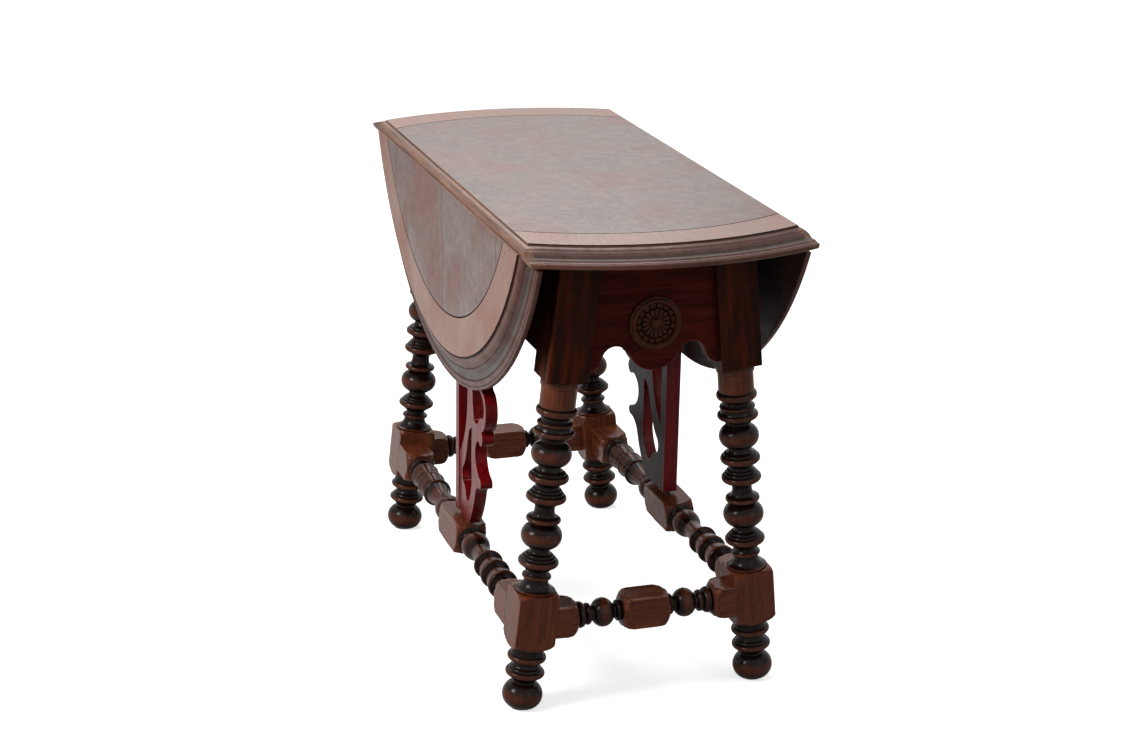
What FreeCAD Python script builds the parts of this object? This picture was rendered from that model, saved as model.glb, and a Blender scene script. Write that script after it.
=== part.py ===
"""Round butterfly table: a narrow fixed board, two drop leaves on rule joints, four raked turned
legs tied by turned stretchers, and two pierced wings that pivot under the board.

Millimetres, +Z up. X runs across the table from leaf to leaf and Y along the fixed board. The
origin is on the floor under the middle of the board. The leaves hang and the wings are folded.
"""
import FreeCAD, Part
import math
import os

V = FreeCAD.Vector
UP = V(0, 0, 1)
ALONG = V(0, 1, 0)

SIZES = (
    ("top_height", 740.0, "floor to the top face of the board"),
    ("board_thick", 22.0, "thickness of the board and leaves"),
    ("joint_half", 204.0, "middle of the board to the step of the rule joint"),
    ("rule_step", 3.0, "step above the quarter round"),
    ("rule_radius", 12.0, "quarter round of the rule joint"),
    ("rule_gap", 0.4, "clearance between the quarter round and the leaf's hollow"),
    ("top_radius", 465.0, "middle of the top to the inner line of the moulding"),
    ("moulding_width", 52.0, "width of the worked edge"),
    ("leg_square", 63.4, "side of the squared leg blank"),
    ("foot_x", 190.3, "leg axis at the floor, across the table"),
    ("leg_y", 367.5, "leg axis, along the table"),
    ("leg_rake", 5.96, "lean of each leg towards the middle, degrees"),
    ("stretcher_z", 143.5, "floor to the stretcher axes"),
    ("stretcher_square", 50.0, "side of the squared side stretcher blanks"),
    ("end_square", 48.0, "side of the squared end stretcher blanks"),
    ("tenon_long", 30.0, "length of every tenon"),
    ("tenon_thick", 10.0, "thickness of every tenon"),
    ("rail_thick", 22.0, "thickness of the aprons and side rails"),
    ("rail_low", 545.0, "floor to the lower edge of a side rail"),
    ("apron_setback", 12.0, "leg face to apron face"),
    ("rail_setback", 10.0, "leg face to side rail face"),
    ("rosette_z", 600.0, "floor to the centre of a rosette"),
    ("wing_x", 175.0, "middle of the table to a wing's pivot, across"),
    ("wing_y", 8.5, "middle of the table to a wing's pivot, along"),
    ("wing_foot", 176.0, "floor to the foot of a wing"),
    ("wing_gap", 0.5, "clearance between a wing's top and the board"),
    ("post_wide", 19.0, "width of a wing's post"),
    ("post_thick", 26.0, "thickness of a wing's post"),
    ("panel_thick", 20.0, "thickness of a wing's pierced panel"),
    ("left_swing", 2.6, "outward swing of the left wing as it hangs, degrees"),
    ("right_swing", -3.0, "outward swing of the right wing as it hangs, degrees"),
    ("pivot_radius", 5.0, "radius of the iron wing pivots"),
    ("pivot_hold", 25.0, "length of a wing pivot held in the post"),
    ("upper_socket", 14.0, "depth of the pivot socket in the board"),
    ("lower_socket", 22.0, "depth of the pivot socket below the foot of a wing"),
    ("running_gap", 0.05, "radial clearance of every running fit"),
    ("hinge_y", 260.0, "middle of the table to the middle of a hinge"),
    ("hinge_wide", 50.0, "width of a hinge along its pin"),
    ("hinge_play", 0.5, "clearance each side of a hinge in its gutter"),
    ("flap_thick", 2.5, "thickness of a hinge flap"),
    ("board_flap", 44.0, "pin to the far edge of the flap on the board"),
    ("leaf_flap", 58.0, "pin to the far edge of the flap on the leaf"),
    ("flap_back", 7.5, "pin to the near edge of either flap"),
    ("knuckle_radius", 4.5, "outer radius of a hinge knuckle"),
    ("hinge_pin", 1.5, "radius of a hinge pin"),
    ("block_long", 60.0, "length of a glue block"),
)

document = FreeCAD.newDocument("ButterflyTable")
sheet = document.addObject("Spreadsheet::Sheet", "Sizes")
for row, (alias, value, meaning) in enumerate(SIZES, 1):
    sheet.set(f"A{row}", meaning)
    sheet.set(f"B{row}", str(value))
    sheet.setAlias(f"B{row}", alias)
document.recompute()


def size(alias):
    """A driving dimension, read back from the sheet."""
    return float(sheet.get(alias))


RAKE = math.radians(size("leg_rake"))
LEAN = math.tan(RAKE)
HALF_LEG = size("leg_square") / 2
HALF_STRETCHER = size("stretcher_square") / 2
UNDERSIDE = size("top_height") - size("board_thick")
RIM = size("top_radius") + size("moulding_width")
PIN_Z = size("top_height") - size("rule_step") - size("rule_radius")
LEG_WASTE = 46.0
STRETCHER_WASTE = 37.0
SIDES = {"left": -1, "right": 1}
ENDS = {"near": -1, "far": 1}

parts = {}


def leg_x(z, offset=0.0):
    """Distance from the middle of the table to a leg's axis at a height, or to a plane that lies
    outside the axis by an offset square to the leg."""
    return size("foot_x") - LEAN * z + offset / math.cos(RAKE)


# ------------------------------------------------------------------ outlines
# An outline is its start and its moves. A move of two numbers is a straight line to that point,
# and a move of four is an arc through its first point to its second.


def rectangle(low, high):
    return low, [(high[0], low[1]), high, (low[0], high[1]), low]


def flipped(outline):
    """An outline reflected across its second axis."""
    start, moves = outline
    flips = [tuple(-n if k % 2 == 0 else n for k, n in enumerate(move)) for move in moves]
    return (-start[0], start[1]), flips


def swapped(outline):
    """An outline with its two axes exchanged."""
    start, moves = outline
    return start[::-1], [tuple(move[k ^ 1] for k in range(len(move))) for move in moves]


def backwards(outline):
    """An open outline followed from its end to its start."""
    start, moves = outline
    points = [start] + [move[-2:] for move in moves]
    steps = zip(reversed(points[:-1]), reversed(moves))
    return points[-1], [(*move[:-2], *point) for point, move in steps]


def opposite(outlines):
    """Outlines joined by their twins half round the table."""
    turned = []
    for start, moves in outlines:
        twin = [tuple(-n for n in move) for move in moves]
        turned += [(start, moves), ((-start[0], -start[1]), twin)]
    return turned


def turned_waste(points):
    """The waste outside a turned profile of (along, radius, bulge) points in rising order. The
    bulge is how far the stretch that ends at a point stands proud of its chord: a swelling is
    positive, a hollow is negative. The first and last points lie outside the blank."""
    moves = []
    along, radius, _ = points[0]
    for next_along, next_radius, bulge in points[1:]:
        if bulge:
            rise, run = next_along - along, next_radius - radius
            proud = bulge / math.hypot(rise, run)
            via = (along + next_along) / 2 - proud * run, (radius + next_radius) / 2 + proud * rise
            moves.append((*via, next_along, next_radius))
        else:
            moves.append((next_along, next_radius))
        along, radius = next_along, next_radius
    return points[0][:2], moves + [points[0][:2]]


# ------------------------------------------------------------------ bodies and features


def new_body(name):
    return document.addObject("PartDesign::Body", name)


def plane(body, role):
    """One of a body's own origin planes."""
    return next(feature for feature in body.Origin.OriginFeatures if feature.Role == role)


def new_sketch(body, name, role, outlines, shift=V(0, 0, 0)):
    """Closed outlines drawn on one of the body's planes."""
    sketch = body.newObject("Sketcher::SketchObject", name)
    sketch.AttachmentSupport = [(plane(body, role), "")]
    sketch.MapMode = "FlatFace"
    sketch.AttachmentOffset = FreeCAD.Placement(shift, FreeCAD.Rotation())
    for start, moves in outlines:
        here = V(*start, 0)
        for move in moves:
            there = V(*move[-2:], 0)
            if len(move) == 4:
                line = Part.Arc(here, V(*move[:2], 0), there)
            else:
                line = Part.LineSegment(here, there)
            sketch.addGeometry(line, False)
            here = there
    return sketch


def add_pad(body, name, sketch, length, side="Symmetric"):
    """A pad whose length is an expression on the sheet."""
    pad = body.newObject("PartDesign::Pad", name)
    pad.Profile = sketch
    pad.SideType = side
    pad.setExpression("Length", length)
    return pad


def remove(body, kind, name, sketch, depth=None, **settings):
    """A pocket or groove, checked to have taken wood away."""
    document.recompute()
    before = body.Shape.Volume
    feature = body.newObject(f"PartDesign::{kind}", name)
    feature.Profile = sketch
    for key, setting in settings.items():
        setattr(feature, key, setting)
    if depth:
        feature.setExpression("Length", depth)
    document.recompute()
    if body.Shape.Volume > before - 1.0:
        raise RuntimeError(f"{name} takes nothing away")
    return feature


def cut_through(body, name, sketch):
    """A cut straight through the body, both ways from its sketch."""
    return remove(body, "Pocket", name, sketch, Type="ThroughAll", SideType="Symmetric")


def turn(body, name, sketch, axis, angle=360.0):
    """Waste turned away round one axis of its sketch, evenly to both sides of the sketch."""
    settings = {"ReferenceAxis": (sketch, [axis]), "Angle": angle, "Midplane": angle < 360.0}
    return remove(body, "Groove", name, sketch, **settings)


def sink(body, name, outlines, depth):
    """Recesses of one depth in the underside of the board or of a raised leaf."""
    sketch = new_sketch(body, f"{name}_outline", "XY_Plane", outlines, V(0, 0, UNDERSIDE))
    return remove(body, "Pocket", name, sketch, depth, Reversed=True)


def bind_box(feature, low, high):
    """Sets a box between two corners given as expressions on the sheet."""
    for key, axis, start, end in zip(("Length", "Width", "Height"), "xyz", low, high):
        feature.setExpression(key, f"({end}) - ({start})")
        feature.setExpression(f"Placement.Base.{axis}", start)
    return feature


def add_box(body, name, low, high):
    return bind_box(body.newObject("PartDesign::AdditiveBox", name), low, high)


def bind_cylinder(feature, radius, length, place, direction=UP):
    """Sets a cylinder whose radius and length are expressions on the sheet."""
    feature.setExpression("Radius", radius)
    feature.setExpression("Height", length)
    feature.Placement = FreeCAD.Placement(place, FreeCAD.Rotation(UP, direction))
    return feature


def boolean(kind, name, base, tools):
    """A Part boolean of a base and its tools."""
    tool = group(f"{name}_tools", tools) if len(tools) > 1 else tools[0]
    made = document.addObject(f"Part::{kind}", name)
    made.Base = base
    made.Tool = tool
    return made


def group(name, members):
    """Like pieces kept as separate solids of one part."""
    made = document.addObject("Part::Compound", name)
    made.Links = members
    return made


def turned_about(way, placement=FreeCAD.Placement()):
    """A placement worked out for the right side, turned half round the table for the left."""
    spin = FreeCAD.Placement(V(0, 0, 0), FreeCAD.Rotation(UP, 0 if way > 0 else 180))
    return spin.multiply(placement)


def keep(name, feature):
    """Names a finished part."""
    feature.Label = name
    parts[name] = feature
    return feature


# ------------------------------------------------------------------ board, leaves and rule joint

# The worked edge, as moves of (outwards from its inner line, down from the top face): a sunk
# fillet, an ovolo, a quirk, a wide scotia and two beads.
MOULDING = (
    (0.0, 1.2),
    (2.0, 1.2),
    (2.0, 2.4),
    (8.5, 3.0),
    (13.5, 4.8),
    (16.5, 7.4),
    (18.5, 7.4),
    (21.0, 10.4),
    (26.0, 13.0),
    (35.0, 13.6),
    (35.6, 12.6),
    (38.0, 12.6),
    (39.0, 14.0),
    (45.0, 14.4),
    (46.2, 16.0),
    (48.4, 14.2),
    (51.2, 15.0),
    (52.0, 17.0),
    (52.0, 20.6),
    (50.6, 22.0),
)


def work_edge(body, name, role, angle):
    """Works the moulding round one arc of the edge."""
    radius, top = size("top_radius"), size("top_height")
    start = (radius, top)
    moves = [tuple(radius + n if k % 2 == 0 else top - n for k, n in enumerate(m)) for m in MOULDING]
    spare = RIM + 2
    moves += [(spare, UNDERSIDE), (spare, top + 1), (radius, top + 1), start]
    sketch = new_sketch(body, f"{name}_profile", role, [(start, moves)])
    return turn(body, name, sketch, "V_Axis", angle)


def round_point(radius, degrees):
    """A point of a round about the pin of the right-hand rule joint."""
    angle = math.radians(degrees)
    return size("joint_half") + radius * math.cos(angle), PIN_Z + radius * math.sin(angle)


def hinge_strips(start, end, play=0.0):
    """Outlines of a strip across both hinges of the right-hand side."""
    half = size("hinge_wide") / 2 + play
    middles = [way * size("hinge_y") for way in ENDS.values()]
    return [rectangle((start, middle - half), (end, middle + half)) for middle in middles]


def make_board():
    """The fixed board: bowed ends with the worked edge, and a quarter round down each side."""
    body = new_body("board")
    half, radius, top = size("joint_half"), size("rule_radius"), size("top_height")
    nose = half + radius
    corner = math.sqrt(RIM**2 - nose**2)
    outline = (nose, -corner), [
        (nose, corner),
        (0, RIM, -nose, corner),
        (-nose, -corner),
        (0, -RIM, nose, -corner),
    ]
    blank = new_sketch(body, "board_outline", "XY_Plane", [outline], V(0, 0, UNDERSIDE))
    add_pad(body, "board_blank", blank, "Sizes.board_thick", "One side")
    sweep = 2 * math.degrees(math.asin(nose / size("top_radius"))) + 4
    far = work_edge(body, "far_edge", "YZ_Plane", sweep)
    near = body.newObject("PartDesign::Mirrored", "near_edge")
    near.Originals = [far]
    near.MirrorPlane = (plane(body, "XZ_Plane"), [""])
    body.Tip = near

    # The quarter round carries on below the level of the pin, out to the underside.
    low = -math.degrees(math.asin((PIN_Z - UNDERSIDE) / radius))
    foot = round_point(radius, low)
    waste = (half, top + 1), [
        (half, top - size("rule_step")),
        (*round_point(radius, 45), nose, PIN_Z),
        (*round_point(radius, low / 2), *foot),
        (foot[0], UNDERSIDE - 1),
        (nose + 1, UNDERSIDE - 1),
        (nose + 1, top + 1),
        (half, top + 1),
    ]
    for side, outline in (("right", waste), ("left", flipped(waste))):
        sketch = new_sketch(body, f"{side}_rule_outline", "XZ_Plane", [outline])
        cut_through(body, f"{side}_quarter_round", sketch)

    play = size("hinge_play")
    seat_end = half - size("flap_back")
    gutter_end = half + size("flap_back") - 2
    seats = opposite(hinge_strips(half - size("board_flap"), seat_end))
    sink(body, "flap_seats", seats, "Sizes.flap_thick")
    gutters = opposite(hinge_strips(seat_end, gutter_end, play))
    sink(body, "knuckle_gutters", gutters, "Sizes.rule_radius")
    easings = opposite(hinge_strips(gutter_end, nose + 1, play))
    sink(body, "tongue_easings", easings, "Sizes.flap_thick + 0.7")
    for side, way in SIDES.items():
        socket = body.newObject("PartDesign::SubtractiveCylinder", f"{side}_upper_socket")
        place = V(way * size("wing_x"), -way * size("wing_y"), UNDERSIDE)
        bind_cylinder(socket, "Sizes.pivot_radius + Sizes.running_gap", "Sizes.upper_socket", place)
    keep("centre_board", body)


def dropped(way):
    """Where something drawn on the raised right leaf comes to when its leaf hangs."""
    pin = V(size("joint_half"), 0, PIN_Z)
    drop = FreeCAD.Placement(V(0, 0, 0), FreeCAD.Rotation(ALONG, 90), pin)
    return turned_about(way, drop)


def make_leaf(side, way):
    """A leaf, drawn raised and then dropped about the pin of its rule joint."""
    body = new_body(f"{side}_leaf_body")
    edge = size("joint_half") + size("rule_gap")
    corner = math.sqrt(RIM**2 - edge**2)
    outline = (edge, corner), [(edge, -corner), (RIM, 0, edge, corner)]
    blank = new_sketch(body, f"{side}_leaf_outline", "XY_Plane", [outline], V(0, 0, UNDERSIDE))
    add_pad(body, f"{side}_leaf_blank", blank, "Sizes.board_thick", "One side")
    sweep = 2 * math.degrees(math.acos(edge / RIM)) + 4
    work_edge(body, f"{side}_edge", "XZ_Plane", sweep)

    hollow = size("rule_radius") + size("rule_gap")
    lip = PIN_Z + math.sqrt(hollow**2 - size("rule_gap") ** 2)
    back = size("joint_half") + hollow
    waste = (edge, lip), [
        (*round_point(hollow, 45), back, PIN_Z),
        (back, UNDERSIDE - 1),
        (edge - 1, UNDERSIDE - 1),
        (edge - 1, lip),
        (edge, lip),
    ]
    sketch = new_sketch(body, f"{side}_hollow_outline", "XZ_Plane", [waste])
    cut_through(body, f"{side}_hollow", sketch)
    seats = hinge_strips(back - 1, size("joint_half") + size("leaf_flap"))
    sink(body, f"{side}_leaf_seats", seats, "Sizes.flap_thick")
    body.Placement = dropped(way)
    keep(f"{side}_leaf", body)


# ------------------------------------------------------------------ hinges

KNUCKLE_PLAY = 0.15


def make_flap(name, middle, for_leaf):
    """One flap of a back-flap hinge, drawn on the right side with the leaf raised. Its plate is
    let in flush, and tongues run from the plate to the knuckles round the pin."""
    body = new_body(name)
    start_y, end_y = middle - size("hinge_wide") / 2, middle + size("hinge_wide") / 2
    pin = "Sizes.joint_half"
    if for_leaf:
        plate = f"{pin} + Sizes.flap_back", f"{pin} + Sizes.leaf_flap"
        tongue = pin, f"{pin} + Sizes.flap_back"
        web = pin, f"{pin} + Sizes.flap_thick"
    else:
        plate = f"{pin} - Sizes.board_flap", f"{pin} - Sizes.flap_back"
        tongue = f"{pin} - Sizes.flap_back", pin
        web = f"{pin} - Sizes.flap_thick", pin
    low = f"{UNDERSIDE}"
    high = f"{UNDERSIDE} + Sizes.flap_thick"
    add_box(body, f"{name}_plate", (plate[0], f"{start_y}", low), (plate[1], f"{end_y}", high))
    pitch = size("hinge_wide") / 3
    for knuckle in (1,) if for_leaf else (0, 2):
        start = start_y + knuckle * pitch + KNUCKLE_PLAY
        end = start + pitch - 2 * KNUCKLE_PLAY
        label = f"{name}_{knuckle}"
        add_box(body, f"{label}_tongue", (tongue[0], f"{start}", low), (tongue[1], f"{end}", high))
        add_box(body, f"{label}_web", (web[0], f"{start}", low), (web[1], f"{end}", f"{PIN_Z}"))
        barrel = body.newObject("PartDesign::AdditiveCylinder", f"{label}_barrel")
        place = V(size("joint_half"), start, PIN_Z)
        bind_cylinder(barrel, "Sizes.knuckle_radius", f"{end - start}", place, ALONG)
    bore = body.newObject("PartDesign::SubtractiveCylinder", f"{name}_bore")
    radius = "Sizes.hinge_pin + Sizes.running_gap" if for_leaf else "Sizes.hinge_pin"
    place = V(size("joint_half"), start_y - 2, PIN_Z)
    bind_cylinder(bore, radius, "Sizes.hinge_wide + 4", place, ALONG)
    return body


def make_hinges(side, way):
    """Both hinges of one side, as board flaps, leaf flaps and pins."""
    board_flaps, leaf_flaps, pins = [], [], []
    for end, sign in ENDS.items():
        middle = sign * size("hinge_y")
        board_flap = make_flap(f"{side}_{end}_board_flap", middle, False)
        board_flap.Placement = turned_about(way)
        board_flaps.append(board_flap)
        leaf_flap = make_flap(f"{side}_{end}_leaf_flap", middle, True)
        leaf_flap.Placement = dropped(way)
        leaf_flaps.append(leaf_flap)
        pin = document.addObject("Part::Cylinder", f"{side}_{end}_hinge_pin")
        start = V(size("joint_half"), middle - size("hinge_wide") / 2, PIN_Z)
        bind_cylinder(pin, "Sizes.hinge_pin", "Sizes.hinge_wide", start, ALONG)
        pin.Placement = turned_about(way, pin.Placement)
        pins.append(pin)
    keep(f"{side}_board_hinge_flaps", group(f"{side}_board_flaps", board_flaps))
    keep(f"{side}_leaf_hinge_flaps", group(f"{side}_leaf_flaps", leaf_flaps))
    keep(f"{side}_hinge_pins", group(f"{side}_pins", pins))


# ------------------------------------------------------------------ aprons and side rails

# Half of the apron's lower edge from the leg: a lobe, a nick, an arch, and the edge of the wide
# middle lobe, as moves of (across, up).
SHOULDER_Z = 531.0
HALF_APRON = (
    (88.0, 536.5, 81.0, 550.0),
    (78.5, 554.0),
    (59.0, 567.5, 41.0, 555.0),
    (38.0, 554.0),
)
MIDDLE_LOBE = (0.0, 527.0)
TENON_LOW = 575.0
TENON_HIGH = 700.0


def make_apron(end, way):
    """An end apron with a shaped lower edge, raked shoulders and a tenon at each end."""
    body = new_body(f"{end}_apron_body")
    shoulder = leg_x(SHOULDER_Z, -HALF_LEG)
    top = leg_x(UNDERSIDE, -HALF_LEG)
    half = (shoulder, SHOULDER_Z), list(HALF_APRON)
    start, left = flipped(half)
    cusp, right = backwards(half)
    ends = [(top, UNDERSIDE), (-top, UNDERSIDE), start]
    outline = start, left + [(*MIDDLE_LOBE, *cusp)] + right + ends
    face = new_sketch(body, f"{end}_apron_outline", "XZ_Plane", [outline])
    add_pad(body, f"{end}_apron_wood", face, "Sizes.rail_thick")
    reach = size("tenon_long") - HALF_LEG
    low, high = leg_x(TENON_LOW, reach), leg_x(TENON_HIGH, reach)
    corners = [(low, TENON_LOW), (high, TENON_HIGH), (-high, TENON_HIGH), (-low, TENON_LOW)]
    tenon = new_sketch(body, f"{end}_apron_tenon_face", "XZ_Plane", [(corners[-1], corners)])
    add_pad(body, f"{end}_apron_tenons", tenon, "Sizes.tenon_thick")
    setback = size("apron_setback") + size("rail_thick") / 2
    place = V(0, way * (size("leg_y") + HALF_LEG - setback), 0)
    body.Placement = FreeCAD.Placement(place, FreeCAD.Rotation())
    return keep(f"{end}_apron", body)


def raked_section(low, high, inner, outer):
    """A level-topped section between two planes raked with the legs, on the right side."""
    start = (leg_x(low, inner), low)
    return start, [(leg_x(low, outer), low), (leg_x(high, outer), high), (leg_x(high, inner), high), start]


def make_side_rail(side, way):
    """A side rail, raked with the legs, with a tenon at each end."""
    body = new_body(f"{side}_rail_body")
    outer = HALF_LEG - size("rail_setback")
    middle = outer - size("rail_thick") / 2
    half = size("tenon_thick") / 2
    section = raked_section(size("rail_low"), UNDERSIDE, outer - size("rail_thick"), outer)
    wood = new_sketch(body, f"{side}_rail_section", "XZ_Plane", [section])
    add_pad(body, f"{side}_rail_wood", wood, "2 * Sizes.leg_y - Sizes.leg_square")
    section = raked_section(TENON_LOW, TENON_HIGH, middle - half, middle + half)
    tenon = new_sketch(body, f"{side}_rail_tenon_section", "XZ_Plane", [section])
    length = "2 * Sizes.leg_y - Sizes.leg_square + 2 * Sizes.tenon_long"
    add_pad(body, f"{side}_rail_tenons", tenon, length)
    body.Placement = turned_about(way)
    return keep(f"{side}_side_rail", body)


# ------------------------------------------------------------------ stretchers

# Turned profiles from the middle of a stretcher outwards.
SIDE_TURNING = (
    (44.0, STRETCHER_WASTE, 0),
    (52.0, 29.5, 0),
    (57.0, 20.0, 0),
    (62.0, 15.0, 0),
    (106.0, 14.5, 7.2),
    (112.0, 14.0, 0),
    (158.0, 20.0, 0),
    (160.0, 22.5, 0),
    (163.0, 17.5, 0),
    (185.0, 21.4, 0),
    (200.0, 22.0, 0),
    (203.0, 17.0, 0),
    (225.0, 21.2, 0),
    (242.0, 22.0, 0),
    (245.0, 16.0, 0),
    (262.0, 16.0, 0),
    (266.0, 21.0, 0),
    (271.0, 20.0, 0),
    (279.0, 29.5, 0),
    (290.0, STRETCHER_WASTE, 0),
)
END_TURNING = (
    (17.0, STRETCHER_WASTE, 0),
    (30.0, 31.5, 0),
    (38.0, 20.0, 0),
    (38.5, 14.0, 0),
    (42.5, 16.5, 0),
    (47.0, 11.0, 0),
    (52.0, 18.0, 0),
    (61.0, 22.2, 0),
    (71.0, 22.2, 0),
    (80.0, 18.0, 0),
    (85.0, 12.0, 0),
    (105.0, 20.0, 0),
    (106.5, 17.0, 0),
    (114.0, 30.0, 0),
    (126.0, STRETCHER_WASTE, 0),
)
STRETCHER_TENON = 15.0


def turn_both_ways(body, name, points):
    """Turns one profile on both halves of a stretcher that lies along its body's X."""
    outline = turned_waste(points)
    for half, waste in (("one", outline), ("other", flipped(outline))):
        sketch = new_sketch(body, f"{name}_{half}_profile", "XZ_Plane", [waste])
        turn(body, f"{name}_{half}", sketch, "H_Axis")


def make_side_stretcher(side, way):
    """A side stretcher with a plain middle block that carries a wing. It lies square to the raked
    legs and flush with their outer faces."""
    body = new_body(f"{side}_stretcher_body")
    half = "Sizes.stretcher_square / 2"
    reach = "Sizes.leg_y - Sizes.leg_square / 2"
    add_box(body, f"{side}_blank", (f"-({reach})", f"-{half}", f"-{half}"), (reach, half, half))
    far = f"{reach} + Sizes.tenon_long"
    low = f"-({far})", "-Sizes.tenon_thick / 2", f"-{STRETCHER_TENON}"
    high = far, "Sizes.tenon_thick / 2", f"{STRETCHER_TENON}"
    add_box(body, f"{side}_stretcher_tenons", low, high)
    turn_both_ways(body, f"{side}_turning", SIDE_TURNING)
    offset = HALF_LEG - HALF_STRETCHER
    x = leg_x(size("stretcher_z")) + offset * math.cos(RAKE)
    z = size("stretcher_z") + offset * math.sin(RAKE)
    lean = FreeCAD.Rotation(ALONG, -size("leg_rake")).multiply(FreeCAD.Rotation(UP, 90))
    body.Placement = turned_about(way, FreeCAD.Placement(V(x, 0, z), lean))
    socket = document.addObject("Part::Cylinder", f"{side}_lower_socket")
    low = size("wing_foot") - size("lower_socket")
    place = V(way * size("wing_x"), -way * size("wing_y"), low)
    bind_cylinder(socket, "Sizes.pivot_radius + Sizes.running_gap", "2 * Sizes.lower_socket", place)
    return keep(f"{side}_side_stretcher", boolean("Cut", f"{side}_stretcher", body, [socket]))


def make_end_stretcher(end, way):
    """An end stretcher, level, flush with the legs' end faces and raked where it meets them."""
    body = new_body(f"{end}_stretcher_body")
    middle = size("stretcher_z")
    side = size("end_square") / 2
    for name, reach, half, thick in (
        ("blank", -HALF_LEG, side, "Sizes.end_square"),
        ("tenons", size("tenon_long") - HALF_LEG, STRETCHER_TENON, "Sizes.tenon_thick"),
    ):
        wide, narrow = leg_x(middle - half, reach), leg_x(middle + half, reach)
        corners = [(wide, -half), (narrow, half), (-narrow, half), (-wide, -half)]
        sketch = new_sketch(body, f"{end}_stretcher_{name}_face", "XZ_Plane", [(corners[-1], corners)])
        add_pad(body, f"{end}_stretcher_{name}", sketch, thick)
    turn_both_ways(body, f"{end}_turning", END_TURNING)
    place = V(0, way * (size("leg_y") + HALF_LEG - side), middle)
    body.Placement = FreeCAD.Placement(place, FreeCAD.Rotation())
    return keep(f"{end}_end_stretcher", body)


# ------------------------------------------------------------------ legs

# Turned profiles by height above the floor.
FOOT_TURNING = (
    (-12.0, LEG_WASTE, 0),
    (-12.0, 16.0, 0),
    (0.0, 16.0, 0),
    (41.0, 17.5, 14.2),
    (44.0, 17.5, 0),
    (58.0, 30.5, 0),
    (74.0, 19.0, 0),
    (83.0, 30.0, 0),
    (97.0, 25.0, 0),
    (100.0, 28.5, 0),
    (115.0, LEG_WASTE, 0),
)
LEG_TURNING = (
    (183.0, LEG_WASTE, 0),
    (190.5, 27.5, 0),
    (192.0, 31.0, 0),
    (200.0, 22.0, 0),
    (209.0, 18.0, 0),
    (213.0, 22.0, 0),
    (218.0, 16.0, 0),
    (222.0, 16.0, 0),
    (236.0, 31.5, 0),
    (253.0, 15.0, 0),
    (256.0, 15.0, 0),
    (295.0, 17.0, 15.0),
    (303.0, 26.6, 0),
    (312.0, 15.0, 0),
    (324.0, 14.8, 0),
    (337.5, 31.0, 0),
    (356.5, 18.0, 0),
    (369.5, 31.0, 0),
    (384.0, 17.0, 0),
    (426.0, 17.5, 13.5),
    (429.0, 20.0, 0),
    (439.0, 31.8, 0),
    (449.0, 24.5, 0),
    (452.0, 27.0, 0),
    (457.0, 22.0, 0),
    (461.0, 22.0, 0),
    (471.0, 31.0, 0),
    (480.0, 27.0, 0),
    (509.0, 26.9, 0),
    (511.0, 29.0, 0),
    (520.0, 29.0, 0),
    (520.0, LEG_WASTE, 0),
)


def make_leg(name, x_way, y_way, level, joined):
    """A leg turned from the square, cut level at the floor and under the board, and mortised."""
    body = new_body(f"{name}_body")
    half = "Sizes.leg_square / 2"
    low, high = (f"-{half}", f"-{half}", "-10"), (half, half, "Sizes.top_height - 10")
    add_box(body, f"{name}_blank", low, high)
    for turning, points in (("foot", FOOT_TURNING), ("shaft", LEG_TURNING)):
        raised = [(z / math.cos(RAKE), radius, bulge) for z, radius, bulge in points]
        waste = swapped(turned_waste(raised))
        sketch = new_sketch(body, f"{name}_{turning}_profile", "XZ_Plane", [waste])
        turn(body, f"{name}_{turning}", sketch, "V_Axis")
    lean = FreeCAD.Rotation(ALONG, -x_way * size("leg_rake"))
    place = V(x_way * size("foot_x"), y_way * size("leg_y"), 0)
    body.Placement = FreeCAD.Placement(place, lean)
    levelled = boolean("Common", f"{name}_levelled", body, [level])
    keep(name, boolean("Cut", f"{name}_mortised", levelled, joined))


# ------------------------------------------------------------------ rosettes and glue blocks

# Half section of a rosette as (radius, height above the apron).
ROSETTE = (
    (6.0, 8.5),
    (12.0, 5.0),
    (26.0, 4.5),
    (31.0, 8.0),
    (36.0, 8.0),
    (40.5, 2.5),
    (40.5, 0.0),
    (0.0, 0.0),
    (0.0, 8.5),
)


def make_rosette(end, way):
    """A turned rosette planted on the face of an apron."""
    body = new_body(f"{end}_rosette_body")
    sketch = new_sketch(body, f"{end}_rosette_section", "XY_Plane", [(ROSETTE[-1], ROSETTE)])
    turning = body.newObject("PartDesign::Revolution", f"{end}_rosette_turning")
    turning.Profile = sketch
    turning.ReferenceAxis = (sketch, ["V_Axis"])
    turning.Angle = 360.0
    place = V(0, size("leg_y") + HALF_LEG - size("apron_setback"), size("rosette_z"))
    body.Placement = turned_about(way, FreeCAD.Placement(place, FreeCAD.Rotation()))
    keep(f"{end}_rosette", body)


BLOCK_Y = 180.0
BLOCK_SIDE = 28.0


def make_glue_block(end, y_way, side, x_way):
    """A block in the corner between a side rail and the underside of the board."""
    body = new_body(f"{end}_{side}_block_body")
    inner = HALF_LEG - size("rail_setback") - size("rail_thick")
    low = UNDERSIDE - BLOCK_SIDE
    corner, start = leg_x(UNDERSIDE, inner), (leg_x(low, inner), low)
    outline = start, [
        (corner, UNDERSIDE),
        (corner - BLOCK_SIDE, UNDERSIDE),
        (corner - BLOCK_SIDE, UNDERSIDE - 8),
        (start[0] - 8, low),
        start,
    ]
    shift = V(0, 0, -x_way * y_way * BLOCK_Y)
    sketch = new_sketch(body, f"{end}_{side}_block_section", "XZ_Plane", [outline], shift)
    add_pad(body, f"{end}_{side}_block_wood", sketch, "Sizes.block_long")
    body.Placement = turned_about(x_way)
    keep(f"{end}_{side}_glue_block", body)


# ------------------------------------------------------------------ wings

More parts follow.
